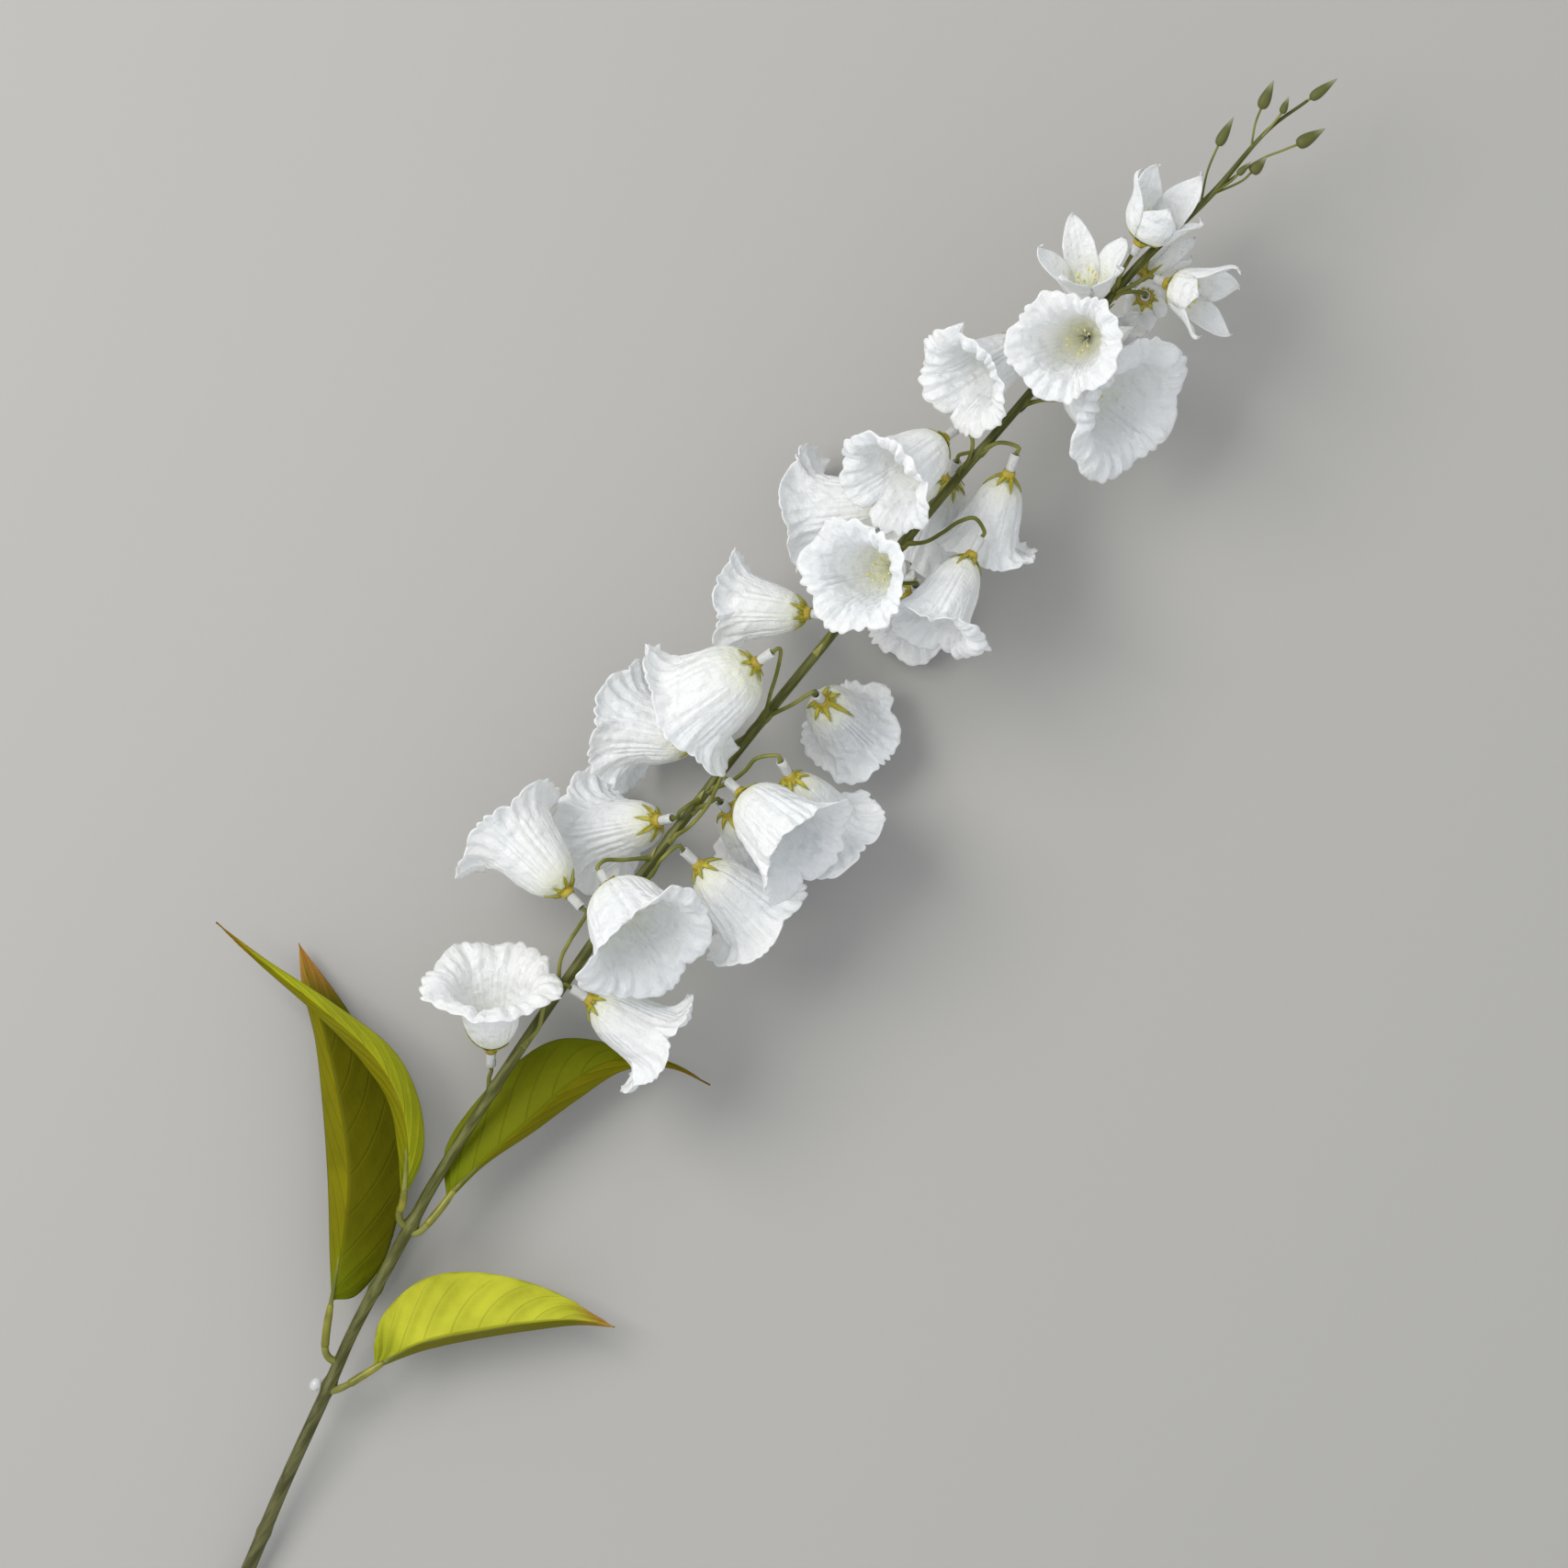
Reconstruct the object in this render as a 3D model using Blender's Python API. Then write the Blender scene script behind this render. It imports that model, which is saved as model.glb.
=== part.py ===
"""A made bellflower spray lying on its side: one long plastic stem with wire flower stalks, fabric
bells with star-shaped calyxes behind them, small open star flowers near the tip and four leaves.

Sizes are in millimetres and are turned into metres where a mesh is made. X runs across the spray,
Y along it from the cut end to the tip, and Z up from the surface that it lies on.
"""

import math
from collections import namedtuple

import bpy
import numpy as np

MM = 0.001
BOX_CENTRE_SHIFT = (44.0, 36.0, 0.0)  # puts the bottom centre of the spray's box at the origin

# Driving dimensions
CLEARANCE = 0.35  # between two pieces that touch
FABRIC = 0.8  # thickness of petals and leaf blades
SLEEVE_RADIUS = 2.3
SLEEVE_LENGTH = 11.0
STALK_RADIUS = 0.95
STALK_SIDES = 5
STALK_STEP = 6.5  # between the rings of a stalk
STRAIGHT_END = 3.5  # the last stretch of a stalk, straight behind its flower
RIM_FRILL = 0.7
RIM_START = 0.6  # how far along a bell its lobes begin
LOBE_DEPTH = 0.03  # of the bell's length
ROLL_OUT, ROLL_BACK = 5.0, 7.0  # how far a lobe with a roll of 1 moves
SLIT_SHARE = 3  # how sharply the lobes meet at their notches
SEPAL_LENGTH = 5.5
STEM_SIDES = 8
CALYX_THICKNESS = 0.7
CALYX_TIPS = 7
LOBES = 5
PETALS = 5
SHOULDER = 0.13  # how far along a bell its round shoulder ends

# The stem's centre line from the cut end to the tip, and its radius there
STEM = (
    ((22.0, -480.0, 3.17), 3.2),
    ((12.0, -434.0, 9.5), 3.2),
    ((3.0, -395.0, 15.5), 3.0),
    ((-6.0, -350.0, 23.0), 2.9),
    ((-12.0, -322.0, 27.0), 2.7),
    ((-15.5, -298.0, 30.5), 2.8),
    ((-19.5, -265.0, 35.5), 2.8),
    ((-22.5, -240.0, 39.0), 2.6),
    ((-25.0, -200.0, 44.5), 2.6),
    ((-27.0, -155.0, 50.5), 2.5),
    ((-28.0, -110.0, 55.5), 2.5),
    ((-28.0, -65.0, 59.0), 2.4),
    ((-26.5, -15.0, 62.0), 2.3),
    ((-24.5, 30.0, 64.0), 2.3),
    ((-22.0, 75.0, 65.5), 2.2),
    ((-20.5, 122.0, 66.0), 2.3),
    ((-18.0, 160.0, 66.0), 2.1),
    ((-14.5, 203.0, 66.0), 2.1),
    ((-11.0, 250.0, 66.0), 2.0),
    ((-8.5, 285.0, 66.5), 2.0),
    ((-4.0, 312.0, 67.0), 1.8),
    ((0.0, 335.0, 67.5), 1.4),
    ((3.0, 370.0, 69.0), 0.9),
    ((10.0, 393.0, 71.0), 0.7),
)
KNOTS = ((-420.0, 0.5), (-347.0, 0.8), (-298.0, 0.6), (-264.0, 0.8), (-191.0, 0.5))
KNOT_LENGTH = 3.0

# A bell: the middle of its calyx end and of its mouth, the mouth's width, the turn of the first
# lobe from the upper side in degrees, how full its body is, how far each lobe rolls out or, below
# 0, in, and how oval the mouth is. The stalk is where it leaves the stem along Y, and the points
# that it passes.
Bell = namedtuple("Bell", "base mouth width turn full rolls oval stalk via")
BELLS = (
    Bell((-38, -176, 48), (-57, -149, 70), 50, 0, 0.3, (1.0, 0.9, 0.5, 0.5, 0.9), 0,
         -195, ((-30, -189, 42.5),)),
    Bell((-13, -132, 63), (28, -129, 58), 43, 26, 0.8, (0.3, 1.4, 0.2, 0.6, 0.9), 0,
         -166, ((-25, -157, 57), (-29, -147, 63), (-31, -139, 66.5), (-29, -134, 66.5))),
    Bell((-36, -85, 76), (-5, -97, 102), 56, 20, 1.3, (-0.7, 1.1, 0.3, 0.3, 0.8), 0,
         -62, ((-33, -66, 63), (-40, -72, 64.5), (-45.5, -76, 65.5))),
    Bell((-52, -98, 69), (-93, -90, 58), 50, 54, 0.6, (0.5, 0.8, 0.3, 0.8, 0.2), 0,
         -138, ((-35, -126, 59), (-37, -116, 65), (-37.5, -107, 71))),
    Bell((-37, -48, 54), (-57, -70, 21), 45, 90, 0.6, (0.9, 0.2, 0.5, 0.8, 0.3), 0,
         -28, ((-29, -32, 66.5), (-31, -38, 69))),
    Bell((-9, -53, 64), (31, -58, 51), 46, 18, 0.8, (0.3, 1.5, 0.3, 0.3, 0.4), 0,
         -79, ((-24.5, -70, 63.5), (-25, -61, 67), (-23, -54, 68.5))),
    Bell((-12, -15, 80), (26, -19, 100), 50, 50, 1.2, (-0.6, 0.7, 0.2, 0.3, -0.4), 0,
         -51, ((-23.5, -41, 66.5), (-22.5, -29, 70.5), (-24, -19, 73))),
    Bell((1, 4, 70), (32, -9, 48), 48, 10, 0.5, (0.3, 0.4, 0.2, 0.6, 0.8), 0,
         -22, ((-21, -15, 67), (-18, -6, 72), (-17, 2, 76), (-13.5, 8, 77.5))),
    Bell((-13, -25, 52), (10, -30, 16), 40, 90, 0.5, (0.8, 0.2, 0.2, 0.3, 0.2), 0,
         -34, ((-23.5, -29, 64), (-21, -25, 63.5))),
    Bell((-43, 36, 95), (-57, -1, 78), 54, -7, 1.4, (0.2, 1.3, 0.2, 0.3, 0.7), 0,
         20, ((-29, 29, 73), (-32, 38, 86), (-36, 47, 96))),
    Bell((-45, -8, 45.5), (-76, -22, 25.5), 50, 30, 0.3, (0.4, 0.7, 0.2, 0.9, 0.3), 0,
         10, ((-29.5, 2, 59), (-33, -1.5, 55))),
    Bell((-38, 69, 62), (-68, 51, 50), 41, 18, 0.6, (0.5, 0.7, 0.2, 0.3, 0.3), 0,
         58, ((-23, 67, 69),)),
    Bell((-8, 41, 62), (11, 38, 20), 40, 40, 1.0, (0.4, 0.3, 0.3, 0.4, 0.3), 0,
         20, ((-19, 30, 69), (-15.5, 39, 74.5))),
    Bell((-17, 110, 73), (-31, 94, 113), 43, 15, 0.6, (0.5, 0.4, 0.5, 0.4, 0.5), 0,
         101, ((-16, 106, 62), (-13.5, 111.5, 60))),
    Bell((-35, 132, 39.4), (-67, 106, 22.4), 47, 18, 0.4, (0.5, 1.1, 0.2, 0.2, 0.5), 0,
         150, ((-21, 145, 58), (-22, 141.5, 51))),
    Bell((-34, 169, 73), (-44, 134, 98), 42, 10, 1.2, (0.9, 0.6, 0.2, 0.2, 0.7), 0,
         163, ((-19.5, 172, 68.5), (-23, 178, 69), (-28, 180, 67.5))),
    Bell((8, 133, 85), (13, 93, 97), 42, 18, 0.5, (0.3, 0.3, 0.3, 1.4, 1.6), 0,
         121, ((-13, 127, 72), (-9, 135, 78), (-6, 143, 83), (-1, 149, 85))),
    Bell((-3, 107, 47.9), (4, 98, 5.9), 38, 0, 0.6, (0.2, 0.3, 0.2, 0.2, 0.3), 0,
         97, ((-14, 103, 65), (-7.5, 108, 64.5))),
    Bell((0, 174, 68), (10, 139, 56), 38, 54, 0.9, (0.1, 0.1, 0.2, 1.7, 0.3), 0,
         176, ((-12, 184, 70), (-7, 188, 72.5))),
    Bell((-20, 158, 46), (-10, 128, 22), 40, 0, 0.6, (0.3, 0.4, 0.2, 0.3, 0.4), 0,
         176, ((-20, 173, 59), (-23.3, 168, 54.5))),
    Bell((-30, 226, 64), (-42, 193, 91), 41, 20, 0.8, (0.7, 0.8, 0.2, 0.4, 0.6), 0,
         214, ((-17, 222, 63), (-22, 232, 57))),
    Bell((-8, 246, 79), (-14, 235, 120), 43, 10, 0.5, (0.4, 0.5, 0.4, 0.5, 0.4), -0.06,
         238, ((-7, 243, 61),)),
    Bell((-4, 229, 61), (31, 231, 85), 55, 36, 0.9, (1.4, 1.0, 0.3, 0.6, 1.4), 0.08,
         203, ((-8, 211, 63), (-1, 217, 57), (0, 222.5, 50), (-8, 226, 47))),
)

# A star flower: calyx end, middle of the petal tips, turn of the first petal in degrees, radius of
# its cup and of the ring of tips, how far along the axis each petal reaches, and the stalk.
Star = namedtuple("Star", "base tip turn cup spread reach stalk via")
STARS = (
    Star((-18, 262, 65), (-35, 279, 87), 40, 12, 20, (30, 26, 33, 32, 33),
         246, ((-12, 250, 60),)),
    Star((-14, 297, 76), (-16, 328, 90), 10, 13.5, 16, (27, 25, 38, 32, 33),
         272, ((-12, 277, 68),)),
    Star((9, 288, 72), (30, 293, 82), 3, 12, 17, (24, 26, 31, 27, 33),
         270, ((-6, 276, 68),)),
    Star((3, 277, 56), (6, 274, 28), 0, 7.5, 8, (27, 24, 26, 25, 26),
         262, ((-8, 270, 67), (-4, 275, 69))),
    Star((-4, 286, 55), (0, 309, 46), 25, 7.5, 8, (27, 24, 28, 26, 24),
         260, ((-12, 267, 61),)),
    Star((-3, 246, 52), (8, 265, 62), 0, 7.5, 5.5, (26, 22, 25, 26, 22),
         230, ((-12, 233, 58), (-10, 235, 53))),
)
STAR_CUP_HEIGHT = 11.0
STAR_SHOULDER = 3.0  # height of the cup's shoulder, which is STAR_SHOULDER_SHARE as wide as the cup
STAR_SHOULDER_SHARE = 0.7
STAR_SLEEVE = 8.5
STAR_CALYX = (2, 3, 4)  # star flowers with a calyx of their own

# A leaf: points along its rib and along its two edges, from the stalk end to the tip.
Leaf = namedtuple("Leaf", "name stalk rib left right")
LEAVES = (
    Leaf(
        "leaf_low_left",
        ((-18.6, -333.6, 27.5), (-23, -326, 28.5), (-28, -316, 30)),
        ((-29, -313, 30), (-40, -290, 34), (-57, -262, 35), (-80, -238, 31), (-104, -217, 24),
         (-125, -201, 15), (-138, -191, 8)),
        ((-29.5, -313.5, 29.5), (-45, -294, 25), (-62, -272, 22), (-83, -247, 19), (-105, -223, 15),
         (-125, -206, 11), (-138, -191, 8)),
        ((-28.5, -314, 29.5), (-20.5, -305, 25), (-21, -281, 23), (-37, -247, 22), (-65, -220, 19),
         (-100, -203, 15), (-138, -191, 8)),
    ),
    Leaf(
        "leaf_high_left",
        ((-27.5, -262.6, 38), (-28.5, -258.5, 39.5), (-32, -252, 43)),
        ((-30, -256, 40.5), (-40, -238, 48), (-57, -221, 54), (-80, -211, 54), (-110, -208, 47),
         (-145, -207, 35), (-174, -205, 26)),
        ((-30.5, -257, 39.5), (-44, -241, 41), (-61, -225, 41), (-82, -217, 41), (-110, -212, 38),
         (-145, -209, 31), (-174, -205, 26)),
        ((-29, -256.5, 39.5), (-34, -235, 39), (-50, -216, 39), (-74, -204, 38), (-108, -203, 36),
         (-145, -205, 31), (-174, -205, 26)),
    ),
    Leaf(
        "leaf_high_right",
        ((-13.7, -260, 36.5), (-13, -250, 37.5), (-13, -240, 38)),
        ((-13, -244, 37.5), (-10, -222, 38), (-4, -195, 38), (2, -168, 37), (12, -148, 33),
         (32, -135, 27), (54, -132, 21)),
        ((-14, -244.5, 37), (-27, -228, 33.5), (-29, -205, 31), (-25, -178, 29), (-13, -154, 27),
         (20, -138, 25), (54, -132, 21)),
        ((-12, -244.5, 37), (-8, -222, 33), (1, -197, 30), (9, -172, 28), (18, -150, 27),
         (34, -137, 25), (54, -132, 21)),
    ),
    Leaf(
        "leaf_low_right",
        ((0.5, -340.6, 27.5), (3.5, -333, 28.5), (7.5, -323, 30)),
        ((5.5, -327, 29.5), (16, -306, 34), (32, -288, 36), (50, -270, 34), (67, -256, 30),
         (84, -248, 24)),
        ((5, -328, 29), (-5.5, -308, 29), (0, -281, 29), (22, -262, 29), (52, -251, 27),
         (84, -248, 24)),
        ((6, -328, 29), (19, -309, 18), (36, -290, 16), (54, -272, 18), (69, -258, 22),
         (84, -248, 24)),
    ),
)
LEAF_ROWS = 10
LEAF_WAVE = 0.9  # height of the waves along a leaf's edges
LEAF_WAVE_STEP = 2.3  # radians of wave from one row to the next
LEAF_BULGE = 1.2  # rise of each half between rib and edge
WIRE_DROP = 1.0  # the wire's middle below the blade
LEAF_STUBS = (  # where each leaf's stub leaves the stem, and a point on its way
    ((-9.5, -336, 25), (-14.5, -336.5, 26.2)),
    ((-20, -266, 35.5), (-24.5, -266, 36.8)),
    ((-18.5, -268, 35), (-15, -265.5, 35.8)),
    ((-6, -350, 23), (-2.5, -346, 25.6)),
)
STUB_RADIUS = 1.7

# A green tip bud: where its stalk leaves the stem along Y, points on the way, its ends and radius
Bud = namedtuple("Bud", "stalk via base tip radius")
BUDS = (
    Bud(392, (), (10.5, 394, 71.2), (15, 409, 73), 2.2),
    Bud(360, ((-3, 370, 72),), (-5, 377, 73.5), (-8, 391, 76), 2.5),
    Bud(366, ((3.5, 375, 71.5),), (4, 381, 72), (2, 389, 74), 1.6),
    Bud(336, ((8, 358, 63), (14, 368, 62)), (18, 374, 61.5), (24, 388, 61), 2.8),
    Bud(332, ((7, 345, 70),), (8.5, 351, 70.5), (10, 361, 71.5), 2.6),
    Bud(326, ((-8, 340, 70),), (-11, 352, 70), (-13, 367, 71), 2.2),
    Bud(332, ((3.2, 342, 71.5),), (4, 346.5, 72.5), (5.5, 355, 73.5), 1.5),
)

WHITE = ("white fabric", (0.86, 0.88, 0.90), 0.75)
MUSTARD = ("calyx plastic", (0.50, 0.38, 0.04), 0.5)
OLIVE = ("stem plastic", (0.13, 0.15, 0.045), 0.5)
GREEN = ("leaf fabric", (0.26, 0.29, 0.02), 0.65)

random_draw = np.random.default_rng(7)


def clear_scene():
    for obj in list(bpy.data.objects):
        bpy.data.objects.remove(obj)


def material_of(finish):
    """One Principled material for each finish, made once."""
    label, colour, roughness = finish
    material = bpy.data.materials.get(label)
    if material is None:
        material = bpy.data.materials.new(label)
        material.use_nodes = True
        shader = material.node_tree.nodes["Principled BSDF"]
        shader.inputs["Base Color"].default_value = (*colour, 1.0)
        shader.inputs["Roughness"].default_value = roughness
        shader.inputs["Metallic"].default_value = 0.0
        material.diffuse_color = (*colour, 1.0)
    return material


def add_object(name, points, triangles, finish):
    """A mesh object from points in millimetres."""
    mesh = bpy.data.meshes.new(name)
    placed = (np.asarray(points, float) + BOX_CENTRE_SHIFT) * MM
    mesh.from_pydata(placed.tolist(), [], [tuple(int(i) for i in t) for t in triangles])
    mesh.validate()
    mesh.shade_smooth()
    mesh.materials.append(material_of(finish))
    obj = bpy.data.objects.new(name, mesh)
    bpy.context.scene.collection.objects.link(obj)
    return obj


def thicken(obj, thickness):
    """Gives an open skin a wall on its inner side."""
    wall = obj.modifiers.new("wall", "SOLIDIFY")
    wall.thickness = thickness * MM
    wall.offset = -1.0
    wall.use_rim = True
    return obj


def apply_modifiers(obj):
    graph = bpy.context.evaluated_depsgraph_get()
    finished = bpy.data.meshes.new_from_object(obj.evaluated_get(graph))
    obj.modifiers.clear()
    obj.data = finished


def fuse(obj, others):
    """Joins overlapping closed shapes into one body and removes the shapes that were joined."""
    group = bpy.data.collections.new(obj.name + "_pieces")
    bpy.context.scene.collection.children.link(group)
    for other in others:
        apply_modifiers(other)
        bpy.context.scene.collection.objects.unlink(other)
        group.objects.link(other)
    apply_modifiers(obj)
    union = obj.modifiers.new("union", "BOOLEAN")
    union.operation = "UNION"
    union.operand_type = "COLLECTION"
    union.collection = group
    union.solver = "MANIFOLD"
    apply_modifiers(obj)
    for other in others:
        bpy.data.objects.remove(other)
    bpy.data.collections.remove(group)
    return obj


def unit(vector):
    vector = np.asarray(vector, float)
    return vector / np.linalg.norm(vector)


def axis_frame(base, end):
    """Unit vectors along an axis, towards its upper side, and across both."""
    along = unit(np.subtract(end, base))
    upper = unit(np.array((0.0, 0.0, 1.0)) - along[2] * along)
    return along, upper, np.cross(along, upper)


def smooth_points(points, count):
    """Points spread evenly along a smooth curve through the given points."""
    points = np.asarray(points, float)
    if len(points) == 2:
        return points[0] + np.linspace(0, 1, count)[:, None] * (points[1] - points[0])
    padded = np.vstack((2 * points[0] - points[1], points, 2 * points[-1] - points[-2]))
    fine = []
    for before, start, end, after in zip(padded, padded[1:], padded[2:], padded[3:]):
        for s in np.linspace(0, 1, 12, endpoint=False):
            fine.append(0.5 * (2 * start + (end - before) * s
                               + (2 * before - 5 * start + 4 * end - after) * s ** 2
                               + (3 * start - before - 3 * end + after) * s ** 3))
    fine.append(points[-1])
    fine = np.array(fine)
    length = np.concatenate(([0], np.cumsum(np.linalg.norm(np.diff(fine, axis=0), axis=1))))
    wanted = np.linspace(0, length[-1], count)
    return np.stack([np.interp(wanted, length, fine[:, k]) for k in range(fine.shape[1])], axis=1)


def strip(lower, upper, triangles):
    """Two triangles for each step between two closed rings of the same number of points."""
    count = len(lower)
    for i in range(count):
        j = (i + 1) % count
        triangles.append((lower[i], lower[j], upper[j]))
        triangles.append((lower[i], upper[j], upper[i]))


def widening_strip(lower, upper, triangles):
    """Three triangles for each step between a closed ring and one with twice its points."""
    count = len(lower)
    for i in range(count):
        j = (i + 1) % count
        left, middle, right = upper[2 * i], upper[2 * i + 1], upper[(2 * i + 2) % (2 * count)]
        triangles.extend(((lower[i], middle, left), (lower[i], lower[j], middle),
                          (lower[j], right, middle)))


def fan(ring, triangles):
    """Closes a ring that faces back along its axis."""
    for i in range(1, len(ring) - 1):
        triangles.append((ring[0], ring[i + 1], ring[i]))


def rod(name, path, radii, sides, finish, last_direction=None):
    """A round rod along a path, with flat ends."""
    path = np.asarray(path, float)
    direction = np.gradient(path, axis=0)
    if last_direction is not None:
        direction[-1] = last_direction
    side = unit(np.cross(direction[0], (0.0, 0.0, 1.0)))
    points = []
    turns = np.arange(sides) * math.tau / sides
    for centre, forward, radius in zip(path, direction, radii):
        forward = unit(forward)
        side = unit(side - forward * side.dot(forward))
        across = np.cross(forward, side)
        points.extend(centre + radius * (math.cos(a) * side + math.sin(a) * across) for a in turns)
    rings = np.arange(len(points)).reshape(-1, sides)
    triangles = []
    for lower, upper in zip(rings, rings[1:]):
        strip(lower, upper, triangles)
    fan(rings[0], triangles)
    fan(rings[-1][::-1], triangles)
    return add_object(name, points, triangles, finish)


def stem_at(y):
    """The stem's centre at a place along it."""
    centres = np.array([centre for centre, radius in STEM])
    return np.array([np.interp(y, centres[:, 1], centres[:, k]) for k in range(3)])


def bell_radius(t, full):
    """A bell's radius as a share of its mouth's. A full bell has a wide round shoulder, and a slim
    one widens more at its late flare."""
    shoulder = 0.32 + 0.16 * full
    return 0.09 + shoulder * (1 - math.exp(-t / 0.12)) + 0.19 * t + (0.72 - shoulder) * t ** 4


def lobe_share(away):
    """1 in the middle of a lobe, falling to 0 at the notches beside it."""
    return 1 - abs(math.sin(away * LOBES / 2)) ** SLIT_SHARE


def rolled(bell, angle):
    """How far the rim rolls at a place round the bell: each lobe's roll, eased to the next one's."""
    away = (angle - math.radians(bell.turn)) / (math.tau / LOBES)
    lobe = math.floor(away)
    ease = away - lobe
    ease = ease * ease * (3 - 2 * ease)
    return (1 - ease) * bell.rolls[lobe % LOBES] + ease * bell.rolls[(lobe + 1) % LOBES]


def bell_ring(bell, t, sides):
    """The points of a bell around its axis, a share t of the way from calyx to rim."""
    along, upper, across = axis_frame(bell.base, bell.mouth)
    length = np.linalg.norm(np.subtract(bell.mouth, bell.base))
    turn = math.radians(bell.turn)
    rim = min(max((t - RIM_START) / (1 - RIM_START), 0.0), 1.0)
    rim = rim * rim * (3 - 2 * rim)
    ring = []
    for angle in turn + np.arange(sides) * math.tau / sides:
        lobing = LOBE_DEPTH * rim * (2 * lobe_share(angle - turn) - 1)
        roll = rolled(bell, angle) * rim ** 2
        frill = RIM_FRILL * random_draw.uniform(-1, 1) * rim
        radius = bell.width / 2 * bell_radius(t, bell.full) * (1 + lobing) + ROLL_OUT * roll + frill
        radius *= 1 - bell.oval * math.cos(2 * angle)
        height = length * (t + lobing) - ROLL_BACK * abs(roll) * rim + frill
        ring.append(np.asarray(bell.base) + along * height
                    + radius * (math.cos(angle) * upper + math.sin(angle) * across))
    return ring


def bell_head(name, bell):
    """A fabric bell with five lobes, fused with the sleeve behind it, both open inside."""
    along, upper, across = axis_frame(bell.base, bell.mouth)
    coarse = 2 * LOBES
    turns = math.radians(bell.turn) + np.arange(coarse) * math.tau / coarse
    points = []
    for height in (-SLEEVE_LENGTH, 0.0):
        points.extend(np.asarray(bell.base) + along * height
                      + SLEEVE_RADIUS * (math.cos(a) * upper + math.sin(a) * across) for a in turns)
    rings = [np.arange(coarse), np.arange(coarse) + coarse]
    triangles = []
    fan(rings[0], triangles)
    strip(rings[0], rings[1], triangles)
    for t, sides in ((SHOULDER, coarse), (0.45, 2 * coarse), (0.78, 2 * coarse), (1.0, 2 * coarse)):
        ring = np.arange(sides) + len(points)
        points.extend(bell_ring(bell, t, sides))
        join = strip if len(rings[-1]) == sides else widening_strip
        join(rings[-1], ring, triangles)
        rings.append(ring)
    return thicken(add_object(name, points, triangles, WHITE), FABRIC)


def calyx(name, base, end, shoulder_radius, shoulder_height):
    """A star of pointed sepals round the sleeve, lying on the flower's shoulder."""
    along, upper, across = axis_frame(base, end)
    slope = shoulder_height / (shoulder_radius - SLEEVE_RADIUS)
    gap = CLEARANCE * math.hypot(1.0, slope)
    inner = SLEEVE_RADIUS + 1.0
    points = []
    triangles = []
    for i in range(CALYX_TIPS):
        valley = i * math.tau / CALYX_TIPS
        tip = valley + math.pi / CALYX_TIPS
        reach = min(SEPAL_LENGTH, 0.72 * (shoulder_radius - inner)) * random_draw.uniform(0.85, 1.15)
        for angle, radius in ((valley, inner), (valley, inner + 1.5), (tip, inner + reach)):
            height = slope * (0.9 * radius - SLEEVE_RADIUS) - gap
            points.append(np.asarray(base) + along * height
                          + radius * (math.cos(angle) * upper + math.sin(angle) * across))
    for i in range(CALYX_TIPS):
        ring, valley, tip = 3 * i, 3 * i + 1, 3 * i + 2
        next_ring, next_valley = (3 * i + 3) % len(points), (3 * i + 4) % len(points)
        triangles.extend(((ring, tip, valley), (ring, next_ring, tip),
                          (next_ring, next_valley, tip)))
    star = thicken(add_object(name, points, triangles, MUSTARD), CALYX_THICKNESS)
    star.modifiers["wall"].offset = 1.0
    return star


def star_flower(name, star):
    """Five pointed petals rising from a round cup, fused with the sleeve behind it."""
    along, upper, across = axis_frame(star.base, star.tip)
    turn = math.radians(star.turn)

    def place(angle, radius, height, aside=0.0):
        outward = math.cos(angle) * upper + math.sin(angle) * across
        sideways = math.cos(angle) * across - math.sin(angle) * upper
        return np.asarray(star.base) + along * height + radius * outward + aside * sideways

    points = []
    for height in (-STAR_SLEEVE, 0.0):
        points.extend(place(turn + (2 * i + 1) * math.pi / PETALS, SLEEVE_RADIUS + 0.2, height)
                      for i in range(PETALS))
    for share, height in ((STAR_SHOULDER_SHARE, STAR_SHOULDER), (1.0, STAR_CUP_HEIGHT)):
        points.extend(place(turn + (i + 1) * math.pi / PETALS, share * star.cup,
                            height - 1.5 * (share == 1.0) * (i % 2 == 0))
                      for i in range(2 * PETALS))
    end_ring, neck = np.arange(PETALS), np.arange(PETALS) + PETALS
    shoulder = np.arange(2 * PETALS) + 2 * PETALS
    cup = shoulder + 2 * PETALS
    triangles = []
    fan(end_ring, triangles)
    strip(end_ring, neck, triangles)
    widening_strip(neck, shoulder, triangles)
    strip(shoulder, cup, triangles)
    for k in range(PETALS):
        middle = turn + (k + 1) * math.tau / PETALS
        reach = star.reach[(k + 1) % PETALS]
        halfway = (STAR_CUP_HEIGHT + reach) / 2
        bulge = star.cup + 0.45 * (star.spread - star.cup) + 0.8
        wide = 0.54 * bulge
        row = [cup[2 * k], cup[2 * k + 1], cup[(2 * k + 2) % (2 * PETALS)]]
        start = len(points)
        points.extend((place(middle, bulge, halfway, -wide), place(middle, bulge + 1.0, halfway),
                       place(middle, bulge, halfway, wide), place(middle, star.spread, reach)))
        for i in (0, 1):
            triangles.append((row[i], row[i + 1], start + i + 1))
            triangles.append((row[i], start + i + 1, start + i))
            triangles.append((start + i, start + i + 1, start + 3))
    return thicken(add_object(name, points, triangles, WHITE), FABRIC)


def stalk_rod(name, flower, sleeve):
    """A wire stalk from the stem's middle, ending square behind the flower's sleeve."""
    along = unit(np.subtract(flower[1], flower[0]))
    last = np.asarray(flower.base) - along * (sleeve + CLEARANCE)
    behind = last - along * STRAIGHT_END
    via = [p for p in flower.via if np.linalg.norm(np.subtract(p, behind)) > STRAIGHT_END]
    route = [stem_at(flower.stalk), *via, behind]
    length = np.linalg.norm(np.diff(route, axis=0), axis=1).sum()
    path = smooth_points(route, max(3, round(length / STALK_STEP)))
    path = np.vstack((path, last))
    return rod(name, path, [STALK_RADIUS] * len(path), STALK_SIDES, OLIVE, along)


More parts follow.
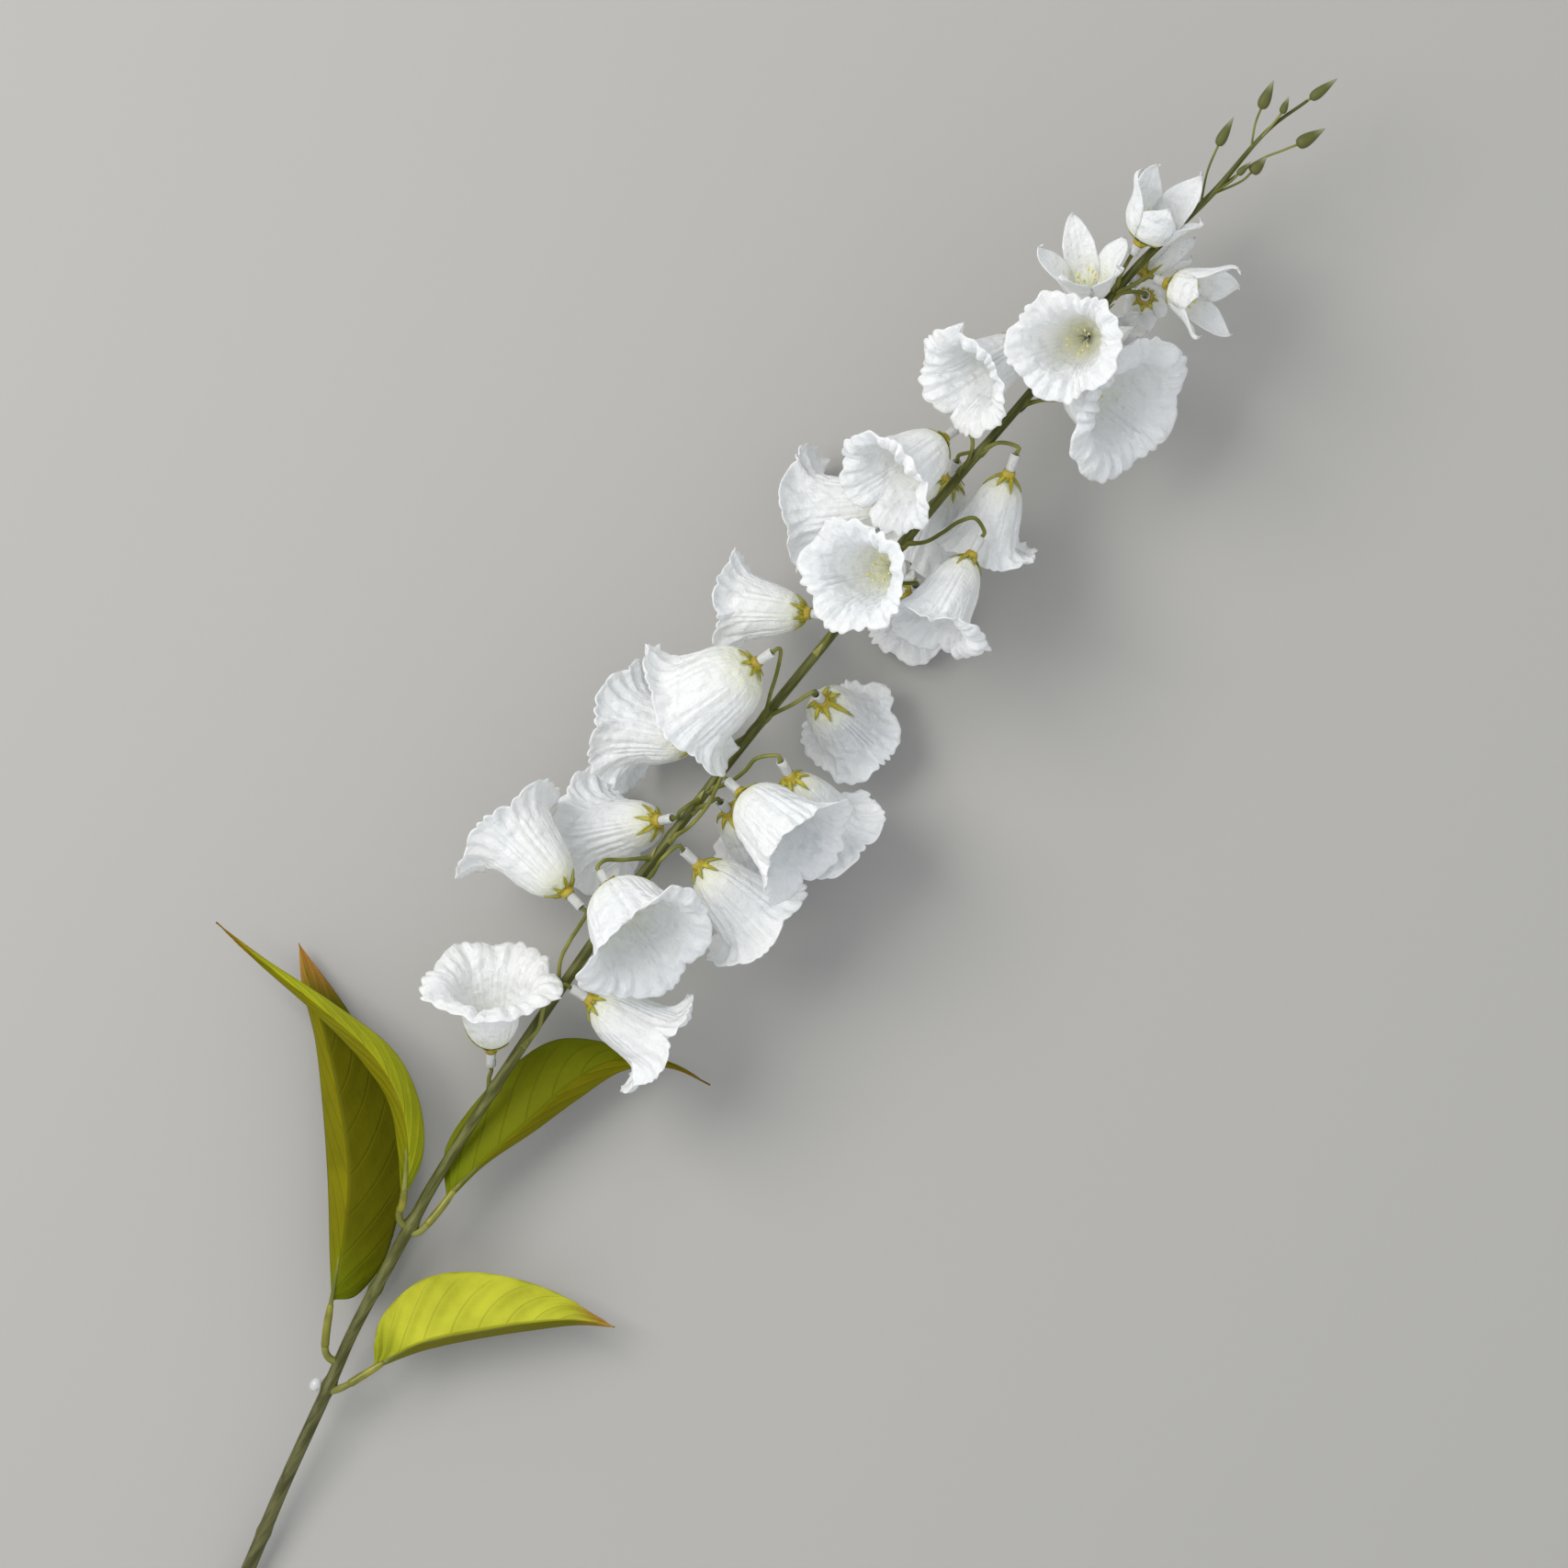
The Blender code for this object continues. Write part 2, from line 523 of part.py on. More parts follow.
def bud(name, data):
    """A pointed green bud on its own thin stalk."""
    path = [np.asarray(data.base) + s * np.subtract(data.tip, data.base)
            for s in (0.0, 0.12, 0.38, 0.7, 1.0)]
    shape = rod(name, path, [r * data.radius for r in (0.35, 0.8, 1.0, 0.62, 0.12)], 6, OLIVE)
    route = [stem_at(data.stalk), *data.via, np.asarray(data.base) * 0.9 + np.asarray(data.tip) * 0.1]
    path = smooth_points(route, max(3, round(len(route) * 2)))
    return shape, rod(name + "_stalk", path, [0.6] * len(path), STALK_SIDES, OLIVE)


def stem():
    """The main stem with its knots, fused with every stalk, leaf stub and tip bud."""
    path = smooth_points([centre for centre, radius in STEM], 44)
    places = [centre[1] for centre, radius in STEM]
    radii = np.interp(path[:, 1], places, [radius for centre, radius in STEM])
    for place, swell in KNOTS:
        nearest = np.argmin(np.abs(path[:, 1] - place))
        radii[nearest] += swell
    obj = rod("stem", path, radii, STEM_SIDES, OLIVE)
    pieces = []
    for i, bell in enumerate(BELLS):
        pieces.append(stalk_rod(f"stalk_{i}", bell, SLEEVE_LENGTH))
    for i, star in enumerate(STARS):
        pieces.append(stalk_rod(f"star_stalk_{i}", star, STAR_SLEEVE))
    for i, (route, data) in enumerate(zip(LEAF_STUBS, LEAVES)):
        forward = unit(np.subtract(data.stalk[1], data.stalk[0]))
        path = smooth_points([*route, data.stalk[0] - forward * 2 * CLEARANCE], 4)
        pieces.append(rod(f"stub_{i}", path, [STUB_RADIUS] * 4, 6, OLIVE, forward))
    for i, data in enumerate(BUDS):
        pieces.extend(bud(f"bud_{i}", data))
    return fuse(obj, pieces)


def leaf(data):
    """A waved blade folded on its rib, fused with the sleeve and wire under the rib."""
    rib = smooth_points(data.rib, LEAF_ROWS + 1)
    left = smooth_points(data.left, LEAF_ROWS + 1)
    right = smooth_points(data.right, LEAF_ROWS + 1)
    points = []
    for i in range(LEAF_ROWS):
        wave = LEAF_WAVE * math.sin(LEAF_WAVE_STEP * i) if 0 < i < LEAF_ROWS - 1 else 0.0
        lift = np.array((0.0, 0.0, LEAF_BULGE + wave))
        points.extend((left[i] + (0, 0, wave), (left[i] + rib[i]) / 2 + lift, rib[i],
                       (rib[i] + right[i]) / 2 + lift, right[i] - (0, 0, wave)))
    points.append(rib[-1])
    triangles = []
    for i in range(LEAF_ROWS - 1):
        for j in range(4):
            a, b = 5 * i + j, 5 * i + j + 1
            triangles.extend(((a, b, b + 5), (a, b + 5, a + 5)))
    last = 5 * (LEAF_ROWS - 1)
    triangles.extend((last + j, last + j + 1, len(points) - 1) for j in range(4))
    blade = thicken(add_object(data.name, points, triangles, GREEN), FABRIC)
    under = [point - (0, 0, WIRE_DROP) for point in rib[1:-3]]
    path = smooth_points([*data.stalk, *under[1:]], 9)
    radii = np.interp(np.arange(9), (0, 2, 8), (1.6, 1.3, 0.6))
    return fuse(blade, [rod(data.name + "_wire", path, radii, 5, GREEN)])


clear_scene()
stem()
for number, bell in enumerate(BELLS, 1):
    bell_head(f"bell_{number:02d}", bell)
    bell_length = math.dist(bell.base, bell.mouth)
    calyx(f"calyx_{number:02d}", bell.base, bell.mouth,
          bell.width / 2 * bell_radius(SHOULDER, bell.full), bell_length * SHOULDER)
for number, star in enumerate(STARS, 1):
    star_flower(f"star_{number}", star)
    if number in STAR_CALYX:
        calyx(f"star_calyx_{number}", star.base, star.tip,
              STAR_SHOULDER_SHARE * star.cup, STAR_SHOULDER)
for data in LEAVES:
    leaf(data)
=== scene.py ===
"""The looks of a made bellflower spray that lies on a pale floor, seen from straight above.

Sizes are in millimetres on the same drawing as the solids: X across the spray, Y along it from the
cut end to the tip, Z up from the floor. They are turned into metres where a mesh is made.
"""

import math
from collections import namedtuple

import bpy
import numpy as np
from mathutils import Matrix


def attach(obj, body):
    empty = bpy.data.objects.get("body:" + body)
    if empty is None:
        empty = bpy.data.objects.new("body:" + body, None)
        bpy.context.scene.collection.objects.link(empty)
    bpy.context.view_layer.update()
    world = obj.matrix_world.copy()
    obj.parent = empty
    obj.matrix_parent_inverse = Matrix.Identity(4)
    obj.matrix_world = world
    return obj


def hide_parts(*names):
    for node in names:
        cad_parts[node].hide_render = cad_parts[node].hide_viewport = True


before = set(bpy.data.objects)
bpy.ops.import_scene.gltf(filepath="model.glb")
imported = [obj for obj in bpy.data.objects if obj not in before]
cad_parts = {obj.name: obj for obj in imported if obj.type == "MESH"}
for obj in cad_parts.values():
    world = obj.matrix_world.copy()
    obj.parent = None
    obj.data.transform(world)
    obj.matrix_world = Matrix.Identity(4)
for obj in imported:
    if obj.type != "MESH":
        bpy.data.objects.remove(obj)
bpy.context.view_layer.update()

# The view from high above, turned so that the stem runs from the lower left to the upper right.
# The spray lies on a plain pale floor, and one broad soft lamp stands at the picture's left, with a
# pale sky all round that fills the shadows.
MM = 0.001
BOX_CENTRE_SHIFT = np.array((44.0, 36.0, 0.0))  # from the drawing's zero to the box's middle
PHOTO_PIXELS = 1707
MM_PER_PIXEL = 0.42
PICTURE_TURN = math.radians(36.0)
CAMERA_HEIGHT = 6000.0
SHARP_HEIGHT = 62.0  # where the picture's scale holds
SENSOR_WIDTH = 36.0
CAMERA_REACH = 20.0
FLOOR_SIDE, FLOOR_COLOUR, FLOOR_ROUGHNESS = 9.0, (0.43, 0.42, 0.40), 0.8
SKY_COLOUR, SKY_STRENGTH = (0.93, 0.965, 1.0), 0.73
LAMP_SIDE, LAMP_DISTANCE = 1.3, 2.3
LAMP_RISE = math.radians(55.0)
LAMP_BEARING = PICTURE_TURN + math.radians(152.0)  # the left, a little above, seen in the picture
LAMP_WATTS, LAMP_COLOUR = 31.0, (1.0, 0.97, 0.93)


def in_metres(points):
    """Points of the drawing, moved by the shift and scaled from millimetres to metres."""
    return (np.asarray(points, float) + BOX_CENTRE_SHIFT) * MM


def add_object(name, data):
    """A new object in the scene, at the origin."""
    obj = bpy.data.objects.new(name, data)
    bpy.context.scene.collection.objects.link(obj)
    return obj


camera = add_object("camera", bpy.data.cameras.new("camera"))
camera.data.sensor_width = SENSOR_WIDTH
camera.data.lens = SENSOR_WIDTH * (CAMERA_HEIGHT - SHARP_HEIGHT) / (PHOTO_PIXELS * MM_PER_PIXEL)
camera.data.clip_end = CAMERA_REACH
camera.location = in_metres((0.0, 0.0, CAMERA_HEIGHT))
camera.rotation_euler = (0.0, 0.0, PICTURE_TURN)
bpy.context.scene.camera = camera
bpy.context.scene.view_settings.view_transform = "Standard"

lamp = add_object("lamp", bpy.data.lights.new("lamp", "AREA"))
lamp.data.size = LAMP_SIDE
lamp.data.energy = LAMP_WATTS
lamp.data.color = LAMP_COLOUR
lamp.location = (LAMP_DISTANCE * math.cos(LAMP_RISE) * math.cos(LAMP_BEARING),
                 LAMP_DISTANCE * math.cos(LAMP_RISE) * math.sin(LAMP_BEARING),
                 LAMP_DISTANCE * math.sin(LAMP_RISE))
lamp.rotation_euler = (math.pi / 2 - LAMP_RISE, 0.0, LAMP_BEARING + math.pi / 2)

world = bpy.data.worlds.new("sky")
world.use_nodes = True
world.node_tree.nodes["Background"].inputs["Color"].default_value = (*SKY_COLOUR, 1.0)
world.node_tree.nodes["Background"].inputs["Strength"].default_value = SKY_STRENGTH
bpy.context.scene.world = world

floor_mesh = bpy.data.meshes.new("floor")
half = FLOOR_SIDE / 2
floor_mesh.from_pydata([(-half, -half, 0), (half, -half, 0), (half, half, 0), (-half, half, 0)],
                       [], [(0, 1, 2, 3)])
floor_finish = bpy.data.materials.new("floor")
floor_finish.use_nodes = True
floor_shader = floor_finish.node_tree.nodes["Principled BSDF"]
floor_shader.inputs["Base Color"].default_value = (*FLOOR_COLOUR, 1.0)
floor_shader.inputs["Roughness"].default_value = FLOOR_ROUGHNESS
floor_mesh.materials.append(floor_finish)
add_object("floor", floor_mesh)

# The bells are cut from white coated fabric and pressed over a hot form, which leaves pleats from
# the calyx to the rim. Each has five lobes that roll back, a frilled edge, a slit where lobes meet,
# and a short white sleeve behind it that grips the wire stalk.
Bell = namedtuple("Bell", "base mouth width turn full rolls oval stalk via")
BELLS = (
    Bell((-38, -176, 48), (-57, -149, 70), 50, 0, 0.3, (1.0, 0.9, 0.5, 0.5, 0.9), 0,
         -195, ((-30, -189, 42.5),)),
    Bell((-13, -132, 63), (28, -129, 58), 43, 26, 0.8, (0.3, 1.4, 0.2, 0.6, 0.9), 0,
         -166, ((-25, -157, 57), (-29, -147, 63), (-31, -139, 66.5), (-29, -134, 66.5))),
    Bell((-36, -85, 76), (-5, -97, 102), 56, 20, 1.3, (-0.7, 1.1, 0.3, 0.3, 0.8), 0,
         -62, ((-33, -66, 63), (-40, -72, 64.5), (-45.5, -76, 65.5))),
    Bell((-52, -98, 69), (-93, -90, 58), 50, 54, 0.6, (0.5, 0.8, 0.3, 0.8, 0.2), 0,
         -138, ((-35, -126, 59), (-37, -116, 65), (-37.5, -107, 71))),
    Bell((-37, -48, 54), (-57, -70, 21), 45, 90, 0.6, (0.9, 0.2, 0.5, 0.8, 0.3), 0,
         -28, ((-29, -32, 66.5), (-31, -38, 69))),
    Bell((-9, -53, 64), (31, -58, 51), 46, 18, 0.8, (0.3, 1.5, 0.3, 0.3, 0.4), 0,
         -79, ((-24.5, -70, 63.5), (-25, -61, 67), (-23, -54, 68.5))),
    Bell((-12, -15, 80), (26, -19, 100), 50, 50, 1.2, (-0.6, 0.7, 0.2, 0.3, -0.4), 0,
         -51, ((-23.5, -41, 66.5), (-22.5, -29, 70.5), (-24, -19, 73))),
    Bell((1, 4, 70), (32, -9, 48), 48, 10, 0.5, (0.3, 0.4, 0.2, 0.6, 0.8), 0,
         -22, ((-21, -15, 67), (-18, -6, 72), (-17, 2, 76), (-13.5, 8, 77.5))),
    Bell((-13, -25, 52), (10, -30, 16), 40, 90, 0.5, (0.8, 0.2, 0.2, 0.3, 0.2), 0,
         -34, ((-23.5, -29, 64), (-21, -25, 63.5))),
    Bell((-43, 36, 95), (-57, -1, 78), 54, -7, 1.4, (0.2, 1.3, 0.2, 0.3, 0.7), 0,
         20, ((-29, 29, 73), (-32, 38, 86), (-36, 47, 96))),
    Bell((-45, -8, 45.5), (-76, -22, 25.5), 50, 30, 0.3, (0.4, 0.7, 0.2, 0.9, 0.3), 0,
         10, ((-29.5, 2, 59), (-33, -1.5, 55))),
    Bell((-38, 69, 62), (-68, 51, 50), 41, 18, 0.6, (0.5, 0.7, 0.2, 0.3, 0.3), 0,
         58, ((-23, 67, 69),)),
    Bell((-8, 41, 62), (11, 38, 20), 40, 40, 1.0, (0.4, 0.3, 0.3, 0.4, 0.3), 0,
         20, ((-19, 30, 69), (-15.5, 39, 74.5))),
    Bell((-17, 110, 73), (-31, 94, 113), 43, 15, 0.6, (0.5, 0.4, 0.5, 0.4, 0.5), 0,
         101, ((-16, 106, 62), (-13.5, 111.5, 60))),
    Bell((-35, 132, 39.4), (-67, 106, 22.4), 47, 18, 0.4, (0.5, 1.1, 0.2, 0.2, 0.5), 0,
         150, ((-21, 145, 58), (-22, 141.5, 51))),
    Bell((-34, 169, 73), (-44, 134, 98), 42, 10, 1.2, (0.9, 0.6, 0.2, 0.2, 0.7), 0,
         163, ((-19.5, 172, 68.5), (-23, 178, 69), (-28, 180, 67.5))),
    Bell((8, 133, 85), (13, 93, 97), 42, 18, 0.5, (0.3, 0.3, 0.3, 1.4, 1.6), 0,
         121, ((-13, 127, 72), (-9, 135, 78), (-6, 143, 83), (-1, 149, 85))),
    Bell((-3, 107, 47.9), (4, 98, 5.9), 38, 0, 0.6, (0.2, 0.3, 0.2, 0.2, 0.3), 0,
         97, ((-14, 103, 65), (-7.5, 108, 64.5))),
    Bell((0, 174, 68), (10, 139, 56), 38, 54, 0.9, (0.1, 0.1, 0.2, 1.7, 0.3), 0,
         176, ((-12, 184, 70), (-7, 188, 72.5))),
    Bell((-20, 158, 46), (-10, 128, 22), 40, 0, 0.6, (0.3, 0.4, 0.2, 0.3, 0.4), 0,
         176, ((-20, 173, 59), (-23.3, 168, 54.5))),
    Bell((-30, 226, 64), (-42, 193, 91), 41, 20, 0.8, (0.7, 0.8, 0.2, 0.4, 0.6), 0,
         214, ((-17, 222, 63), (-22, 232, 57))),
    Bell((-8, 246, 79), (-14, 235, 120), 43, 10, 0.5, (0.4, 0.5, 0.4, 0.5, 0.4), -0.06,
         238, ((-7, 243, 61),)),
    Bell((-4, 229, 61), (31, 231, 85), 55, 36, 0.9, (1.4, 1.0, 0.3, 0.6, 1.4), 0.08,
         203, ((-8, 211, 63), (-1, 217, 57), (0, 222.5, 50), (-8, 226, 47))),
)
LOBES = 5
RIM_START = 0.6  # how far along a bell its lobes begin
LOBE_DEPTH = 0.03  # of the bell's length
CURL_SHARE = 0.2  # of a bell's length, the stretch at the rim that curls
CURL_TURN = 2.4  # how far a lobe with a roll of 1 turns, in radians
LIP_START, LIP_OUT, LIP_BACK = 0.86, 0.6, 0.5  # the last edge bends out and back
PLEATS, PLEAT_MEAN, PLEAT_SHIFT = 22, 0.64, 1.1  # their count, mean size and unevenness
PLEAT_DEPTH, RIM_PLEAT_DEPTH, PLEAT_PUFF = 0.7, 2.3, 2.8  # on the wall, at the rim, lengthwise
EDGE_CALM = 0.62  # how much flatter the pleats are at the very edge
FRILL, FRILL_OUT, FRILL_ALONG = 0.7, 0.8, 1.4
FRILL_WAVES = (5, 8, 13, 21)
DENT_DEPTH, CRUMPLE_DEPTH = 0.5, 0.3
SLIT_DEPTH, SLIT_LEAST, SLIT_WIDTH = 6.5, 0.5, 0.045  # the width is a share of a lobe's
SLEEVE_LENGTH, SLEEVE_RADIUS = 11.0, 2.3
SLEEVE_PROFILE = ((-1.0, 2.05), (-0.97, 2.3), (-0.7, 2.25), (-0.4, 2.2), (-0.15, 2.2),
                  (-0.03, 2.25))  # heights as shares of the length, and radii
PETAL_WALL = 0.5
FLOOR_GAP = 0.15
BELL_ROWS = ((0.0, 0.16, 4), (0.16, 0.6, 5), (0.6, 0.8, 5), (0.8, 1.0, 12))  # closer near the rim
BELL_COLUMNS = 216
FOLD_SEEDS = {4: 59, 7: 125}  # bells whose long slits face away


def axis_frame(base, end):
    """Unit vectors along an axis, towards its upper side, and across both."""
    along = np.subtract(end, base) / math.dist(base, end)
    upper = np.array((0.0, 0.0, 1.0)) - along[2] * along
    upper /= np.linalg.norm(upper)
    return along, upper, np.cross(along, upper)


def waves(angle, counts, draw):
    """A sum of cosines with whole counts round a circle, drawn phases and a spread of about 1."""
    total = sum(np.cos(count * angle + draw.uniform(0, math.tau)) for count in counts)
    return total * math.sqrt(2 / len(counts))


def scallops(angle, count, draw):
    """1 on each round fold and 0 in the sharp creases between them: the size of a sine with a
    whole count of half waves round the circle, shifted by slow waves so that widths differ."""
    return np.abs(np.sin(count * angle / 2 + PLEAT_SHIFT * waves(angle, (3, 5, 8), draw)))


def rise(values, start, end):
    """0 before start and 1 after end, with a smooth step between them."""
    share = np.clip((np.asarray(values, float) - start) / (end - start), 0, 1)
    return share * share * (3 - 2 * share)


def bell_radius(t, full):
    """A bell's radius as a share of its mouth's. A full bell has a wide round shoulder, and a slim
    one widens more at its late flare."""
    shoulder = 0.32 + 0.16 * full
    return 0.09 + shoulder * (1 - np.exp(-t / 0.12)) + 0.19 * t + (0.72 - shoulder) * t ** 4


def place_round(base, axes, radius, height, angle):
    """Points at a radius and height round an axis, at an angle from its upper side."""
    along, upper, across = axes
    outward = np.cos(angle)[..., None] * upper + np.sin(angle)[..., None] * across
    return np.asarray(base, float) + height[..., None] * along + radius[..., None] * outward


def sleeve_rows(length):
    """Heights and radii of the sleeve behind a flower, from its open end, as two columns."""
    shares, radii = np.array(SLEEVE_PROFILE).T[..., None]
    return shares * length, radii


def over_grid(*values):
    """Arrays that fit together, as one array with a last axis that runs over them."""
    return np.stack(np.broadcast_arrays(*values), axis=-1)


def lobe_rolls(rolls, away):
    """The roll at each angle: a lobe's own at its middle, eased over into the next lobe's."""
    lobe = np.floor(away).astype(int) % LOBES
    ease = rise(away % 1, 0, 1)
    rolls = np.array(rolls)
    return (1 - ease) * rolls[lobe] + ease * rolls[(lobe + 1) % LOBES]


def bell_creases(t, angle, away, draw):
    """What to add to a bell's radius and to its height. Outwards go slow dents, slanted crumples,
    pleats that deepen towards the rim and calm down at its edge, and a frill. Along the bell the
    pleats puff out, and each slit is a narrow bell curve between two lobes."""
    folds = scallops(angle, PLEATS, draw) - PLEAT_MEAN
    frill = FRILL * waves(angle, FRILL_WAVES, draw)
    folds = folds * np.clip(1.0 + 0.5 * waves(angle, (2, 3, 5), draw), 0.3, 1.9)
    dents = waves(angle + 2.0 * t, (2, 3), draw)
    depth = SLIT_DEPTH * draw.uniform(0, 1, LOBES) ** 3 + SLIT_LEAST
    crumples = waves(angle + 4 * t, (4, 7, 11), draw) * np.sin(9 * t + draw.uniform(0, math.tau))
    curl = np.clip((t - RIM_START) / (1 - RIM_START), 0, 1)
    calm = 1 - EDGE_CALM * rise(curl, 0.8, 1.0)
    out = DENT_DEPTH * dents * rise(t, 0.1, 0.6) + CRUMPLE_DEPTH * crumples * rise(t, 0.15, 0.5)
    out = out + folds * calm * (PLEAT_DEPTH * rise(t, 0.05, 0.5) + RIM_PLEAT_DEPTH * curl ** 1.2)
    out = out + FRILL_OUT * frill * curl ** 2
    puffs = (PLEAT_PUFF * folds - FRILL_ALONG * frill) * rise(curl, 0.15, 0.65) * calm ** 1.5
    slit = depth[np.floor(away).astype(int) % LOBES] * np.exp(-((away % 1 - 0.5) / SLIT_WIDTH) ** 2)
    return out, puffs - slit * curl ** 4


def bell_skin(bell, seed):
    """A bell's outer side over the angle round it and the share t of its length. The radius is the
    bell's profile, widened and lengthened where a lobe is, with creases added to both. The last
    stretch of each lobe bends along a circle by its roll, and the sleeve goes on behind."""
    length = math.dist(bell.base, bell.mouth)
    turn = math.radians(bell.turn)
    stretches = [np.linspace(*stretch, endpoint=False) for stretch in BELL_ROWS]
    t = np.concatenate((*stretches, [1.0]))[:, None]
    angle = turn + np.arange(BELL_COLUMNS)[None, :] * math.tau / BELL_COLUMNS
    away = (angle - turn) / (math.tau / LOBES)
    share = 1 - np.abs(np.sin(away * math.pi)) ** 3
    lobing = LOBE_DEPTH * rise(t, RIM_START, 1.0) * (2 * share - 1)
    along_curl = np.clip((t - 1 + CURL_SHARE) / CURL_SHARE, 0, 1)
    arc = CURL_SHARE * length * along_curl
    bend = CURL_TURN * lobe_rolls(bell.rolls, away) * (0.75 + 0.25 * share) * along_curl
    lip = np.clip((t - LIP_START) / (1 - LIP_START), 0, 1) ** 2
    out, along = bell_creases(t, angle, away, np.random.default_rng(seed))
    radius = bell.width / 2 * bell_radius(t, bell.full) * (1 + lobing)
    radius = radius + arc * np.sin(bend / 2) * np.sinc(bend / math.tau)
    radius = radius * (1 - bell.oval * np.cos(2 * angle)) + out + LIP_OUT * lip
    height = length * (t + lobing) - arc * (1 - np.sinc(bend / math.pi)) + along - LIP_BACK * lip
    heights, radii = sleeve_rows(SLEEVE_LENGTH)
    radius = np.vstack((radii * np.ones_like(angle), radius))
    height = np.vstack((heights * np.ones_like(angle), height))
    skin = place_round(bell.base, axis_frame(bell.base, bell.mouth), radius, height, angle)
    skin[..., 2] = np.maximum(skin[..., 2], PETAL_WALL + FLOOR_GAP)
    return skin, over_grid(np.cos(angle), np.sin(angle), np.vstack((heights / length, t))), True


def wrapped_faces(rows, columns, wrap):
    """The four corners of each face of a grid, in the order that points its faces outwards."""
    here = np.arange(rows * columns).reshape(rows, columns)
    after = np.roll(here, -1, axis=1)
    corners = np.stack((here[:-1], after[:-1], after[1:], here[1:]), axis=-1)
    return corners[:, :columns if wrap else columns - 1].reshape(-1, 4)


def make_piece(name, surfaces, finish, wall=0.0, caps=False):
    """One mesh from grids of points, each with the values that its material reads. A wrapped grid
    closes round, caps close both its ends, and a wall gives a sheet its thickness inwards."""
    points, faces, lays = [], [], []
    for grid, lay, wrap in surfaces:
        start = sum(len(p) for p in points)
        rows, columns = grid.shape[:2]
        points.append(grid.reshape(-1, 3))
        lays.append(np.broadcast_to(lay, grid.shape).reshape(-1, 3))
        faces.extend((wrapped_faces(rows, columns, wrap) + start).tolist())
        if caps:
            faces.append((np.arange(columns)[::-1] + start).tolist())
            faces.append((np.arange(columns) + start + (rows - 1) * columns).tolist())
    mesh = bpy.data.meshes.new(name)
    mesh.from_pydata(in_metres(np.vstack(points)).tolist(), [], faces)
    lay_values = mesh.attributes.new("lay", "FLOAT_VECTOR", "POINT")
    lay_values.data.foreach_set("vector", np.vstack(lays).astype(np.float32).ravel())
    mesh.shade_smooth()
    mesh.materials.append(finish)
    obj = add_object(name, mesh)
    if wall:
        sheet = obj.modifiers.new("wall", "SOLIDIFY")
        sheet.thickness = wall * MM
        sheet.offset = -1.0
    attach(obj, "root")
    return obj


class Shade:
    """A socket of a material that can be reckoned with: an operator adds its Math node."""

    def __init__(self, tree, socket=None):
        self.tree = tree
        self.socket = socket

    def make(self, kind, settings, inputs, output=0):
        """Adds a node, sets its settings, then its sockets, and gives back one of its outputs."""
        node = self.tree.nodes.new(kind)
        for key, value in settings.items():
            setattr(node, key, value)
        for key, value in inputs.items():
            if isinstance(value, Shade):
                self.tree.links.new(value.socket, node.inputs[key])
            else:
                node.inputs[key].default_value = value
        return Shade(self.tree, node.outputs[output])

    def math(self, operation, *values):
        """A Math node of the values, in their order."""
        return self.make("ShaderNodeMath", {"operation": operation}, dict(enumerate(values)))

    def __add__(self, other):
        return self.math("ADD", self, other)

    __radd__ = __add__

    def __mul__(self, other):
        return self.math("MULTIPLY", self, other)

    __rmul__ = __mul__

    def __sub__(self, other):
        return self.math("SUBTRACT", self, other)

    def __rsub__(self, other):
        return self.math("SUBTRACT", other, self)

    def __pow__(self, other):
        return self.math("POWER", self, other)

    def __abs__(self):
        return self.math("ABSOLUTE", self)

    def step(self, start, end):
        """0 at start and 1 at end, smoothly."""
        return self.make("ShaderNodeMapRange", {"interpolation_type": "SMOOTHSTEP"},
                         {"Value": self, "From Min": start, "From Max": end})

    def mix(self, first, second):
        """The first colour where this is 0 and the second where it is 1."""
        inputs = {"Factor": self}
        for index, colour in ((6, first), (7, second)):
            inputs[index] = colour if isinstance(colour, Shade) else (*colour, 1.0)
        return self.make("ShaderNodeMix", {"data_type": "RGBA", "clamp_factor": True}, inputs, 2)

    def scaled(self, x, y, z):
        """A vector with each part scaled on its own."""
        return self.make("ShaderNodeVectorMath", {"operation": "MULTIPLY"}, {0: self, 1: (x, y, z)})

    def part(self, index):
        """One part of a vector: 0, 1 or 2."""
        return self.make("ShaderNodeSeparateXYZ", {}, {0: self}, index)

    def noise(self, scale, detail=2.0):
        """Soft noise from 0 to 1 at this place."""
        inputs = {"Vector": self, "Scale": scale, "Detail": detail}
        return self.make("ShaderNodeTexNoise", {}, inputs)


def new_finish(name, roughness, **constants):
    """A material, its shader, and the piece's lay and place to paint with."""
    finish = bpy.data.materials.new(name)
    finish.use_nodes = True
    shader = finish.node_tree.nodes["Principled BSDF"]
    shader.inputs["Roughness"].default_value = roughness
    for socket, value in constants.items():
        shader.inputs[socket.replace("_", " ")].default_value = value
    start = Shade(finish.node_tree)
    lay = start.make("ShaderNodeAttribute", {"attribute_name": "lay"}, {}, 1)
    place = start.make("ShaderNodeTexCoord", {}, {}, 3)
    return finish, shader, lay, place


def paint(finish, shader, colour, bump, depth):
    """Joins a colour and a relief of a depth in millimetres to the shader."""
    inputs = {"Height": bump, "Distance": depth * MM, "Strength": 1.0}
    relief = bump.make("ShaderNodeBump", {}, inputs)
    finish.node_tree.links.new(colour.socket, shader.inputs["Base Color"])
    finish.node_tree.links.new(relief.socket, shader.inputs["Normal"])


COOL_WHITE, WARM_WHITE, SLEEVE_WHITE = (0.88, 0.91, 0.95), (0.93, 0.94, 0.94), (0.84, 0.86, 0.82)
THROAT_CREAM, THROAT_YELLOW = (0.89, 0.89, 0.67), (0.85, 0.86, 0.46)
FABRIC_ROUGHNESS, FABRIC_RELIEF = 0.45, 1.1


